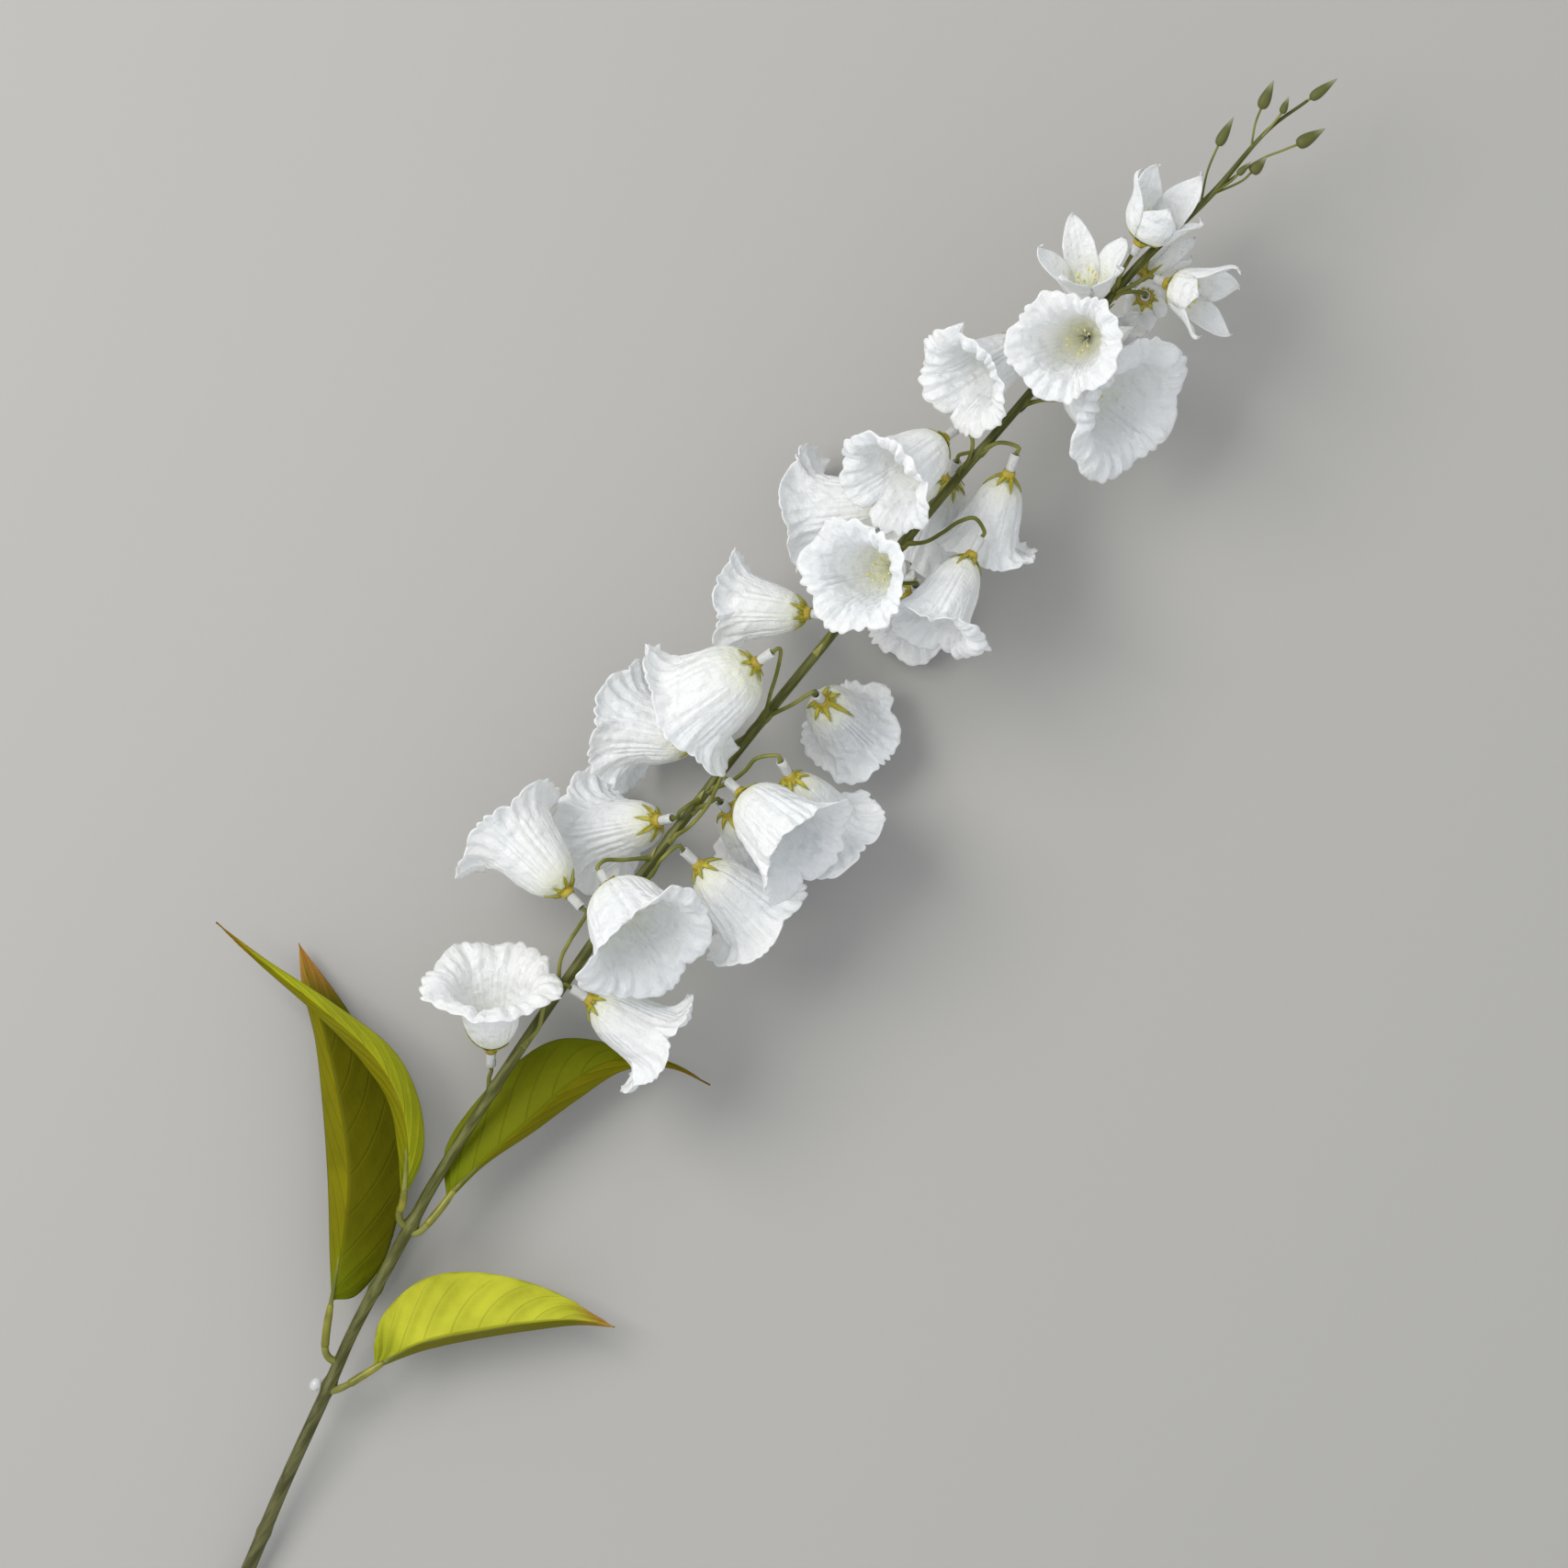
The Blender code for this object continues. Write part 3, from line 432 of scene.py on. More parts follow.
def white_fabric():
    """White, cooler in places, with a cream and yellow-green throat that runs out along the pleats,
    fine pressed lines along the petal, and a crisp crumple."""
    finish, shader, lay, place = new_finish("white fabric", FABRIC_ROUGHNESS, Subsurface_Weight=0.8,
                                            Subsurface_Radius=(1.0, 1.0, 1.0),
                                            Subsurface_Scale=0.002)
    height = lay.part(2)
    streaks = lay.scaled(10.0, 10.0, 1.6).noise(1.0, 3.0)
    throat = (1 - height.step(0.05, 0.62)) * streaks.step(0.25, 0.7)
    base = 1 - height.step(0.0, 0.3)
    sleeve = 1 - height.step(-0.02, 0.0)
    white = place.noise(22.0, 1.0).step(0.35, 0.65).mix(COOL_WHITE, WARM_WHITE)
    tinted = (throat * 0.7).mix(white, THROAT_CREAM)
    tinted = (base * 0.6).mix(tinted, THROAT_YELLOW)
    colour = sleeve.mix(tinted, SLEEVE_WHITE)
    lines = lay.scaled(17.0, 17.0, 2.2).noise(1.0, 2.0)
    crumple = place.noise(150.0, 4.0)
    paint(finish, shader, colour, lines * 0.5 + crumple * 2.4, FABRIC_RELIEF)
    return finish


fabric = white_fabric()
for number, bell in enumerate(BELLS, 1):
    skin = bell_skin(bell, FOLD_SEEDS.get(number, number))
    piece = make_piece(f"frilled_bell_{number:02d}", [skin], fabric, PETAL_WALL)
    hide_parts(f"bell_{number:02d}")

# The small open flowers near the tip have five pointed petals in one pressed piece, which overlap
# at their edges and make a cup below. The same white fabric and sleeve as the bells.
Star = namedtuple("Star", "base tip turn cup spread reach stalk via")
STARS = (
    Star((-18, 262, 65), (-35, 279, 87), 40, 12, 20, (30, 26, 33, 32, 33),
         246, ((-12, 250, 60),)),
    Star((-14, 297, 76), (-16, 328, 90), 10, 13.5, 16, (27, 25, 38, 32, 33),
         272, ((-12, 277, 68),)),
    Star((9, 288, 72), (30, 293, 82), 3, 12, 17, (24, 26, 31, 27, 33),
         270, ((-6, 276, 68),)),
    Star((3, 277, 56), (6, 274, 28), 0, 7.5, 8, (27, 24, 26, 25, 26),
         262, ((-8, 270, 67), (-4, 275, 69))),
    Star((-4, 286, 55), (0, 309, 46), 25, 7.5, 8, (27, 24, 28, 26, 24),
         260, ((-12, 267, 61),)),
    Star((-3, 246, 52), (8, 265, 62), 0, 7.5, 5.5, (26, 22, 25, 26, 22),
         230, ((-12, 233, 58), (-10, 235, 53))),
)
STAR_CUP_HEIGHT = 11.0
STAR_SHOULDER, STAR_SHOULDER_SHARE = 3.0, 0.7  # its height, and its radius as a share of the cup's
STAR_SLEEVE = 8.5
PETALS = 5
PETAL_ROWS, PETAL_COLUMNS = 30, 15
PETAL_KNOTS = (0.0, 0.12, 0.36, 0.66, 1.0)  # where along a petal its middle line is given
PETAL_START = 2.2  # the radius at which petals leave the sleeve
CUP_SHARE = 0.3  # of a petal's length, the stretch that belongs to the cup
PETAL_FULL, PETAL_POINT = 1.12, 0.96  # its width in the cup over a fifth of it, and where it ends
PETAL_RIDGE, PETAL_LAP, PETAL_FLUTTER, PETAL_DROOP = 0.8, 0.4, 0.5, 2.5
PETAL_LEAST = 0.12
PETAL_SEED = 100
SLEEVE_SIDES = 20
SLEEVE_LAY = -0.2  # where the white fabric paints a sleeve


def star_petal(star, k, seed):
    """One petal over its width and its length. Its middle runs up the cup and out to the tip on a
    fourth-degree curve, its width fills a fifth of the cup and then narrows to a point, and of its
    two edges one lies outside and one inside its neighbours'."""
    draw = np.random.default_rng(seed)
    reach = star.reach[k]
    bulge = star.cup + 0.45 * (star.spread - star.cup) + 0.8
    share = np.linspace(0, 1, PETAL_ROWS)[:, None]
    across = np.linspace(-1, 1, PETAL_COLUMNS)[None, :]
    heights = (0.0, STAR_SHOULDER, STAR_CUP_HEIGHT, (STAR_CUP_HEIGHT + reach) / 2, reach)
    radii = (PETAL_START, STAR_SHOULDER_SHARE * star.cup, star.cup, bulge + 1.0, star.spread)
    height = np.interp(share, PETAL_KNOTS, heights)
    radius = np.polyval(np.polyfit(PETAL_KNOTS, radii, 4), share)
    free = np.clip((share - CUP_SHARE) / (1 - CUP_SHARE), 0, 1)
    narrow = np.clip(1 - (free / PETAL_POINT) ** 2.0, 0, 1) ** 1.15 + 0.05 * (1 - free)
    full = math.pi / PETALS * (PETAL_FULL + draw.uniform(-0.15, 0.05) * rise(free, 0, 0.4))
    half_width = np.maximum(full * narrow * np.minimum(radius, bulge), PETAL_LEAST)
    angle = math.radians(star.turn) + k * math.tau / PETALS + half_width * across / radius
    ridge = PETAL_RIDGE * (1 - np.abs(across)) * rise(share, 0.2, 0.5) + PETAL_LAP * across
    phase = draw.uniform(0, math.tau)
    flutter = PETAL_FLUTTER * rise(free, 0.1, 1.0) * across ** 2 * np.sin(9 * share + phase)
    droop = PETAL_DROOP * rise(share, 0.6, 1.0) * draw.uniform(-1, 1)
    grid = place_round(star.base, axis_frame(star.base, star.tip), radius + ridge + flutter + droop,
                       height + 0.3 * flutter, angle)
    return grid, over_grid(0.25 * across, 1.7 * k, share), False


def sleeve(base, tip, length):
    """The short tube behind a small flower: the sleeve's profile turned round the axis."""
    heights, radii = sleeve_rows(length)
    angle = np.arange(SLEEVE_SIDES)[None, :] * math.tau / SLEEVE_SIDES
    grid = place_round(base, axis_frame(base, tip), radii, heights, angle)
    return grid, over_grid(np.cos(angle), np.sin(angle), SLEEVE_LAY), True


for number, star in enumerate(STARS, 1):
    first_seed = PETAL_SEED + 2 * PETALS * number
    surfaces = [star_petal(star, k, first_seed + k) for k in range(PETALS)]
    surfaces.append(sleeve(star.base, star.tip, STAR_SLEEVE))
    piece = make_piece(f"open_flower_{number}", surfaces, fabric, PETAL_WALL)
    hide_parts(f"star_{number}")

# Each flower sits in a star of narrow pointed sepals, moulded in soft mustard plastic that is
# washed with green at the points. It is pushed over the sleeve until it lies on the shoulder.
SEPAL_TIPS, SEPAL_COLUMNS = 7, 16  # points round the star, and mesh columns for each
SEPAL_WALL, SEPAL_GAP = 0.45, 0.35
SEPAL_REACH, STAR_SEPAL_REACH, STAR_SEPAL_SHARE = 5.2, 4.2, 0.36
SEPAL_WIDTH, SMALL_SEPAL_WIDTH, SMALL_SEPAL_REACH = 0.5, 0.35, 2.6
COLLAR_ROOM, VALLEY_ROOM = 0.35, 1.6  # beyond the sleeve's radius
SEPAL_ROWS = (0, 0, 0, 0.12, 0.3, 0.5, 0.7, 0.88, 1.0)  # the way out from the collar to the edge
COLLAR_HEIGHTS = (-2.6, -1.7, -0.6, 0, 0, 0, 0, 0, 0)
COLLAR_WIDTHS = (0.0, 0.35, 0.6, 0.5, 0, 0, 0, 0, 0)
SEPAL_RIDGE, SEPAL_LIFT = 0.35, 0.5
SEPAL_SEED, STAR_SEPAL_SEED = 300, 400
LONG_SEPALS = {1: 1.5, 3: 1.5, 9: 1.6, 13: 1.9}  # bells with one sepal that is longer than the rest
DARK_MUSTARD, PALE_MUSTARD = (0.38, 0.30, 0.012), (0.57, 0.49, 0.04)
COLLAR_BROWN, POINT_GREEN = (0.30, 0.17, 0.02), (0.25, 0.27, 0.03)
CALYX_ROUGHNESS, CALYX_RELIEF = 0.48, 0.2


def sepal_star(base, tip, shoulder, seed, reach, longest):
    """A collar and a star over the angle and the way outwards. Its edge runs from the valleys to
    the points, and it lies a small gap off the flower's shoulder, given as heights over radii."""
    draw = np.random.default_rng(seed)
    columns = SEPAL_TIPS * SEPAL_COLUMNS
    angle = np.arange(columns)[None, :] * math.tau / columns
    turns = angle / (math.tau / SEPAL_TIPS)
    which = np.floor(turns).astype(int) % SEPAL_TIPS
    between = np.round(turns).astype(int) % SEPAL_TIPS
    from_tip = np.abs(2 * (turns % 1) - 1)
    tips = reach * draw.uniform(0.8, 1.2, SEPAL_TIPS)
    tips[draw.integers(SEPAL_TIPS)] *= longest
    small_tips = draw.uniform(0, SMALL_SEPAL_REACH, SEPAL_TIPS)
    inner, valley = SLEEVE_RADIUS + COLLAR_ROOM, SLEEVE_RADIUS + VALLEY_ROOM
    long_point = np.clip(1 - (from_tip / SEPAL_WIDTH) ** 1.2, 0, 1)
    small_point = np.clip(1 - ((1 - from_tip) / SMALL_SEPAL_WIDTH) ** 1.25, 0, 1)
    edge = valley + np.maximum(tips[which] * long_point, small_tips[between] * small_point)
    outward, collar, wider = (np.array(row)[:, None]
                              for row in (SEPAL_ROWS, COLLAR_HEIGHTS, COLLAR_WIDTHS))
    radius = inner + wider + outward * (edge - inner)
    ridge = SEPAL_RIDGE * (1 - from_tip) * rise(outward, 0.0, 0.3)
    lift = SEPAL_LIFT * outward ** 3 * draw.uniform(0.2, 1.5, SEPAL_TIPS)[which]
    lie = np.interp(radius, shoulder[0], shoulder[1]) - SEPAL_GAP - SEPAL_WALL
    grid = place_round(base, axis_frame(base, tip), radius, collar + lie - ridge - lift, angle)
    return grid, over_grid(0, 0, outward), True


def calyx_plastic():
    """Mustard yellow, browner at the collar and greener at the points, with a soft satin."""
    finish, shader, lay, place = new_finish("calyx plastic", CALYX_ROUGHNESS, Subsurface_Weight=0.1,
                                            Subsurface_Scale=0.001)
    outward = lay.part(2)
    patches = place.noise(260.0, 2.0)
    yellow = patches.step(0.35, 0.65).mix(DARK_MUSTARD, PALE_MUSTARD)
    brown = (1 - outward.step(0.0, 0.25)) * 0.35
    green = outward.step(0.45, 1.0) * 0.75
    colour = green.mix(brown.mix(yellow, COLLAR_BROWN), POINT_GREEN)
    paint(finish, shader, colour, patches, CALYX_RELIEF)
    return finish


mustard = calyx_plastic()
along_shoulder = np.linspace(0, RIM_START, 60)
for number, bell in enumerate(BELLS, 1):
    shoulder = (bell.width / 2 * bell_radius(along_shoulder, bell.full),
                math.dist(bell.base, bell.mouth) * along_shoulder)
    longest = LONG_SEPALS.get(number, 1.0)
    sepals = sepal_star(bell.base, bell.mouth, shoulder, SEPAL_SEED + number, SEPAL_REACH, longest)
    piece = make_piece(f"sepals_{number:02d}", [sepals], mustard, SEPAL_WALL)
    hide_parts(f"calyx_{number:02d}")
for number, star in enumerate(STARS, 1):
    shoulder = ((SLEEVE_RADIUS, STAR_SHOULDER_SHARE * star.cup, star.cup),
                (0.0, STAR_SHOULDER, STAR_CUP_HEIGHT))
    reach = min(STAR_SEPAL_REACH, STAR_SEPAL_SHARE * star.cup)
    sepals = sepal_star(star.base, star.tip, shoulder, STAR_SEPAL_SEED + number, reach, 1.0)
    piece = make_piece(f"star_sepals_{number}", [sepals], mustard, SEPAL_WALL)
    if f"star_calyx_{number}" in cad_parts:
        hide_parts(f"star_calyx_{number}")

# The stamens are a tuft of thin cream wires with small yellow heads, set in the throat of each
# flower. They are dipped in coloured glue, which dries as the oval head.
STAMENS = 8
STAMEN_SEED = 500
STAMEN_POINTS, STAMEN_SIDES, STAMEN_RADIUS = 9, 5, 0.28
BELL_STAMEN, STAR_STAMEN = 15.0, 12.0
HEAD_POINTS, HEAD_SIDES, HEAD_RADIUS, HEAD_REACH = 7, 8, 0.7, 0.75
STAMEN_CREAM, HEAD_YELLOW = (0.78, 0.78, 0.55), (0.72, 0.66, 0.30)
RING_SIDE = (0.3, 0.1, 1.0)


def carried_ring(path, radii, sides):
    """A round profile carried along a path. A ring's first side is square to the path and to one
    fixed direction, and the turns that this gives from ring to ring are added up and taken off."""
    forward = np.gradient(path, axis=0)
    forward /= np.linalg.norm(forward, axis=1)[:, None]
    side = np.cross(forward, RING_SIDE)
    side /= np.linalg.norm(side, axis=1)[:, None]
    across = np.cross(forward, side)
    turned = np.arctan2((side[1:] * across[:-1]).sum(1), (side[1:] * side[:-1]).sum(1))
    twist = np.concatenate(([0], np.cumsum(turned)))
    angle = np.arange(sides) * math.tau / sides - twist[:, None]
    ring = np.cos(angle)[..., None] * side[:, None] + np.sin(angle)[..., None] * across[:, None]
    return path[:, None] + ring * radii.reshape(len(path), -1, 1)


def stamen_tuft(base, tip, length, seed):
    """Wires that rise along the flower's axis and lean outwards by a power of their height, each
    with an oval head."""
    draw = np.random.default_rng(seed)
    axes = axis_frame(base, tip)
    share = np.linspace(0, 1, STAMEN_POINTS)
    oval = HEAD_RADIUS * np.sqrt(1 - np.linspace(-0.97, 0.97, HEAD_POINTS) ** 2)
    steps = np.linspace(-HEAD_REACH, HEAD_REACH, HEAD_POINTS)[:, None]
    parts = []
    for k in range(STAMENS):
        angle = np.full(STAMEN_POINTS, k * math.tau / STAMENS + draw.uniform(-0.3, 0.3))
        tall = length * draw.uniform(0.75, 1.1)
        lean = draw.uniform(3.0, 5.5)
        path = place_round(base, axes, 1.0 + lean * share ** 1.6, 1.0 + tall * share, angle)
        wire = carried_ring(path, np.full(STAMEN_POINTS, STAMEN_RADIUS), STAMEN_SIDES)
        head = carried_ring(path[-1] + steps * (path[-1] - path[-2]), oval, HEAD_SIDES)
        parts.extend(((wire, (0, 0, 0), True), (head, (1, 0, 0), True)))
    return parts


def stamen_wire():
    """Cream along the wire and yellow at its head."""
    finish, shader, lay, place = new_finish("stamen wire", 0.5)
    colour = lay.part(0).mix(STAMEN_CREAM, HEAD_YELLOW)
    paint(finish, shader, colour, place.noise(600.0), 0.15)
    return finish


tufts = []
for number, flower in enumerate((*BELLS, *STARS)):
    length = BELL_STAMEN if number < len(BELLS) else STAR_STAMEN
    tufts.extend(stamen_tuft(flower.base, flower[1], length, STAMEN_SEED + number))
piece = make_piece("stamens", tufts, stamen_wire(), caps=True)

# The stem is one long plastic-coated wire with faint ridges and swollen knots, dark olive above and
# greyer near the cut. Each flower hangs on a thinner wire of its own, which leaves the stem at a
# small pointed scale, and the tip carries a few green buds.
STEM = (
    ((22.0, -480.0, 3.17), 3.2),
    ((12.0, -434.0, 9.5), 3.2),
    ((3.0, -395.0, 15.5), 3.0),
    ((-6.0, -350.0, 23.0), 2.9),
    ((-12.0, -322.0, 27.0), 2.7),
    ((-15.5, -298.0, 30.5), 2.8),
    ((-19.5, -265.0, 35.5), 2.8),
    ((-22.5, -240.0, 39.0), 2.6),
    ((-25.0, -200.0, 44.5), 2.6),
    ((-27.0, -155.0, 50.5), 2.5),
    ((-28.0, -110.0, 55.5), 2.5),
    ((-28.0, -65.0, 59.0), 2.4),
    ((-26.5, -15.0, 62.0), 2.3),
    ((-24.5, 30.0, 64.0), 2.3),
    ((-22.0, 75.0, 65.5), 2.2),
    ((-20.5, 122.0, 66.0), 2.3),
    ((-18.0, 160.0, 66.0), 2.1),
    ((-14.5, 203.0, 66.0), 2.1),
    ((-11.0, 250.0, 66.0), 2.0),
    ((-8.5, 285.0, 66.5), 2.0),
    ((-4.0, 312.0, 67.0), 1.8),
    ((0.0, 335.0, 67.5), 1.4),
    ((3.0, 370.0, 69.0), 0.9),
    ((10.0, 393.0, 71.0), 0.7),
)
STEM_SIDES, STEM_STEP = 28, 2.2
STEM_RIDGES, RIDGE_DEPTH = 7, 0.035
KNOTS = ((-420.0, 0.5), (-347.0, 0.9), (-298.0, 0.7), (-264.0, 0.9), (-191.0, 0.5), (-50.0, 0.3),
         (21.0, 0.4), (121.0, 0.4), (176.0, 0.3))
KNOT_LENGTH = 2.6
STALK_RADIUS, STALK_ROOT, STALK_ROOT_LENGTH = 0.95, 0.7, 5.0  # and how much thicker its root is
STALK_SIDES, STALK_STEP = 10, 1.3
STRAIGHT_END = 3.5  # of a stalk, behind its sleeve
SLEEVE_GRIP = 5.0  # how deep a stalk's wire goes into its sleeve
SCALE_RADIUS, SCALE_FLARE, SCALE_LENGTH, SCALE_START = 2.6, 0.8, 6.5, 2.0
SCALE_HALF_TURN, SCALE_POINT, SCALE_WALL = 0.8, 0.95, 0.35
Bud = namedtuple("Bud", "stalk via base tip radius")
BUDS = (
    Bud(392, (), (10.5, 394, 71.2), (15, 409, 73), 2.2),
    Bud(360, ((-3, 370, 72),), (-5, 377, 73.5), (-8, 391, 76), 2.5),
    Bud(366, ((3.5, 375, 71.5),), (4, 381, 72), (2, 389, 74), 1.6),
    Bud(336, ((8, 358, 63), (14, 368, 62)), (18, 374, 61.5), (24, 388, 61), 2.8),
    Bud(332, ((7, 345, 70),), (8.5, 351, 70.5), (10, 361, 71.5), 2.6),
    Bud(326, ((-8, 340, 70),), (-11, 352, 70), (-13, 367, 71), 2.2),
    Bud(332, ((3.2, 342, 71.5),), (4, 346.5, 72.5), (5.5, 355, 73.5), 1.5),
)
BUD_POINTS, BUD_SIDES, BUD_RIDGES, BUD_RIDGE_DEPTH = 18, 15, 5, 0.06
BUD_WIRE_RADIUS, BUD_WIRE_SIDES, BUD_WIRE_STEP = 0.55, 8, 1.5
THIN_KIND, SCALE_KIND, BUD_KIND = 2.0, 3.0, 4.0  # what lay begins with on wires, scales and buds


def walked(path):
    """How far along a path each of its points is."""
    return np.concatenate(([0], np.cumsum(np.linalg.norm(np.diff(path, axis=0), axis=1))))


def even_points(path, count):
    """A count of points at an even step along a path."""
    far = walked(path)
    wanted = np.linspace(0, far[-1], count)
    return np.stack([np.interp(wanted, far, column) for column in path.T], 1)


def smooth_path(points, step):
    """Points at a near-even step along a smooth curve through the given points, each stretch of
    which is a cubic that starts and ends along the line between its neighbours."""
    points = np.asarray(points, float)
    padded = np.vstack((2 * points[0] - points[1], points, 2 * points[-1] - points[-2]))
    b, p, q, a = (part[:, None] for part in (padded[:-3], padded[1:-2], padded[2:-1], padded[3:]))
    s = np.linspace(0, 1, 24, endpoint=False)[None, :, None]
    curve = 0.5 * (2 * p + (q - b) * s + (2 * b - 5 * p + 4 * q - a) * s ** 2
                   + (3 * p - b - 3 * q + a) * s ** 3)
    curve = np.vstack((curve.reshape(-1, points.shape[1]), points[-1]))
    return even_points(curve, max(4, round(walked(curve)[-1] / step)))


def stem_at(y):
    """The stem's middle at a place along the spray."""
    centres = np.array([centre for centre, radius in STEM])
    return np.array([np.interp(y, centres[:, 1], column) for column in centres.T])


def stem_skin():
    """The stem's ridged round section along its path, swollen by a bell curve at each knot."""
    path = smooth_path([centre for centre, radius in STEM], STEM_STEP)
    radii = np.interp(path[:, 1], *zip(*((centre[1], radius) for centre, radius in STEM)))
    for place, swell in KNOTS:
        radii = radii + swell * np.exp(-((path[:, 1] - place) / KNOT_LENGTH) ** 2)
    turn = np.arange(STEM_SIDES) * math.tau / STEM_SIDES
    ridges = 1 + RIDGE_DEPTH * np.cos(STEM_RIDGES * turn)
    return carried_ring(path, radii[:, None] * ridges, STEM_SIDES), (0, 0, 0), True


def stalk_skin(flower, sleeve_length):
    """A stalk's wire from inside the stem, thicker at its root, into the flower's sleeve."""
    along = axis_frame(flower.base, flower[1])[0]
    last = np.asarray(flower.base) - along * sleeve_length
    behind = last - along * STRAIGHT_END
    via = [p for p in flower.via if math.dist(p, behind) > STRAIGHT_END]
    inside = last + along * SLEEVE_GRIP
    path = smooth_path([stem_at(flower.stalk), *via, behind, last, inside], STALK_STEP)
    radii = STALK_RADIUS + STALK_ROOT * np.exp(-(walked(path) / STALK_ROOT_LENGTH) ** 2)
    return carried_ring(path, radii, STALK_SIDES), (THIN_KIND, 0, 0), True


def scale_skin(flower):
    """A small pointed scale that hugs the stem where a stalk leaves it: a strip of a widening round
    wall, whose turn shrinks to a point along it."""
    root = stem_at(flower.stalk)
    first = np.subtract(flower.via[0] if flower.via else flower.base, root)
    forward = stem_at(flower.stalk + 5) - stem_at(flower.stalk - 5)
    forward /= np.linalg.norm(forward)
    out = first - forward * first.dot(forward)
    out /= np.linalg.norm(out)
    share = np.linspace(0, 1, 9)[:, None]
    across = np.linspace(-1, 1, 7)[None, :]
    lean = across * SCALE_HALF_TURN * (1 - SCALE_POINT * share ** 0.8)
    radius = SCALE_RADIUS + SCALE_FLARE * share
    grid = place_round(root, (forward, out, np.cross(forward, out)), radius,
                       share * SCALE_LENGTH - SCALE_START, lean)
    return grid, over_grid(SCALE_KIND, 0, share), False


def bud_skin(bud):
    """A pointed oval bud with soft ridges, on its own thin wire. Its radius is a skewed half sine,
    fuller towards its base."""
    share = np.linspace(0, 1, BUD_POINTS)
    base, tip = np.asarray(bud.base, float), np.asarray(bud.tip, float)
    path = base + share[:, None] * (tip - base)
    plump = np.sin(np.pi * share ** 0.62) ** 0.8 * (1 - 0.35 * share) * 1.12
    plump = bud.radius * (plump + 0.10 * (1 - share) + 0.04)
    turn = np.arange(BUD_SIDES) * math.tau / BUD_SIDES
    ridges = 1 + BUD_RIDGE_DEPTH * np.cos(BUD_RIDGES * turn)
    lay = over_grid(BUD_KIND, 0, share[:, None])
    body = carried_ring(path, plump[:, None] * ridges, BUD_SIDES), lay, True
    wire = smooth_path([stem_at(bud.stalk), *bud.via, base * 0.9 + tip * 0.1], BUD_WIRE_STEP)
    radii = np.full(len(wire), BUD_WIRE_RADIUS)
    return body, (carried_ring(wire, radii, BUD_WIRE_SIDES), (THIN_KIND, 0, 0), True)


DARK_OLIVE, WORN_OLIVE = (0.070, 0.074, 0.012), (0.150, 0.155, 0.040)
LOW_GREY, LOW_WORN = (0.055, 0.056, 0.016), (0.120, 0.118, 0.042)
FRESH_GREEN, PALE_GREEN = (0.125, 0.135, 0.022), (0.24, 0.24, 0.055)
SCALE_TIP, BUD_GREEN, BUD_TIP = (0.30, 0.29, 0.10), (0.115, 0.120, 0.032), (0.32, 0.32, 0.18)
LOW_START, LOW_FULL = -0.20, -0.36  # the stretch, in metres, over which the stem turns grey
STEM_ROUGHNESS, STEM_RELIEF = 0.45, 0.08


def olive_plastic():
    """Dark olive with paler worn streaks; greyer towards the cut end, fresher green on the thin
    stalks, and pale at the points of the scales and buds."""
    finish, shader, lay, place = new_finish("olive plastic", STEM_ROUGHNESS,
                                            Specular_IOR_Level=0.22)
    kind, share = lay.part(0), lay.part(2)
    thin, scale, bud = (kind.step(first - 0.6, first - 0.1)
                        for first in (THIN_KIND, SCALE_KIND, BUD_KIND))
    streaks = place.scaled(1.0, 0.12, 1.0).noise(420.0, 3.0)
    dark = streaks.step(0.38, 0.68).mix(DARK_OLIVE, WORN_OLIVE)
    grey = streaks.step(0.35, 0.65).mix(LOW_GREY, LOW_WORN)
    fresh = place.noise(55.0, 2.0).step(0.4, 0.6).mix(FRESH_GREEN, PALE_GREEN)
    colour = thin.mix(place.part(1).step(LOW_START, LOW_FULL).mix(dark, grey), fresh)
    colour = (scale * share.step(0.2, 1.0)).mix(colour, SCALE_TIP)
    colour = bud.mix(colour, share.step(0.55, 1.0).mix(BUD_GREEN, BUD_TIP))
    paint(finish, shader, colour, streaks, STEM_RELIEF)
    return finish


olive = olive_plastic()
stem_piece = make_piece("main_stem", [stem_skin()], olive, caps=True)
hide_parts("stem")
stalks = [stalk_skin(bell, SLEEVE_LENGTH) for bell in BELLS]
stalks.extend(stalk_skin(star, STAR_SLEEVE) for star in STARS)
make_piece("flower_stalks", stalks, olive, caps=True)
buds = [surface for bud in BUDS for surface in bud_skin(bud)]
make_piece("tip_buds", buds, olive, caps=True)
scales = [scale_skin(flower) for flower in (*BELLS, *STARS)]
make_piece("stem_scales", scales, olive, wall=SCALE_WALL)

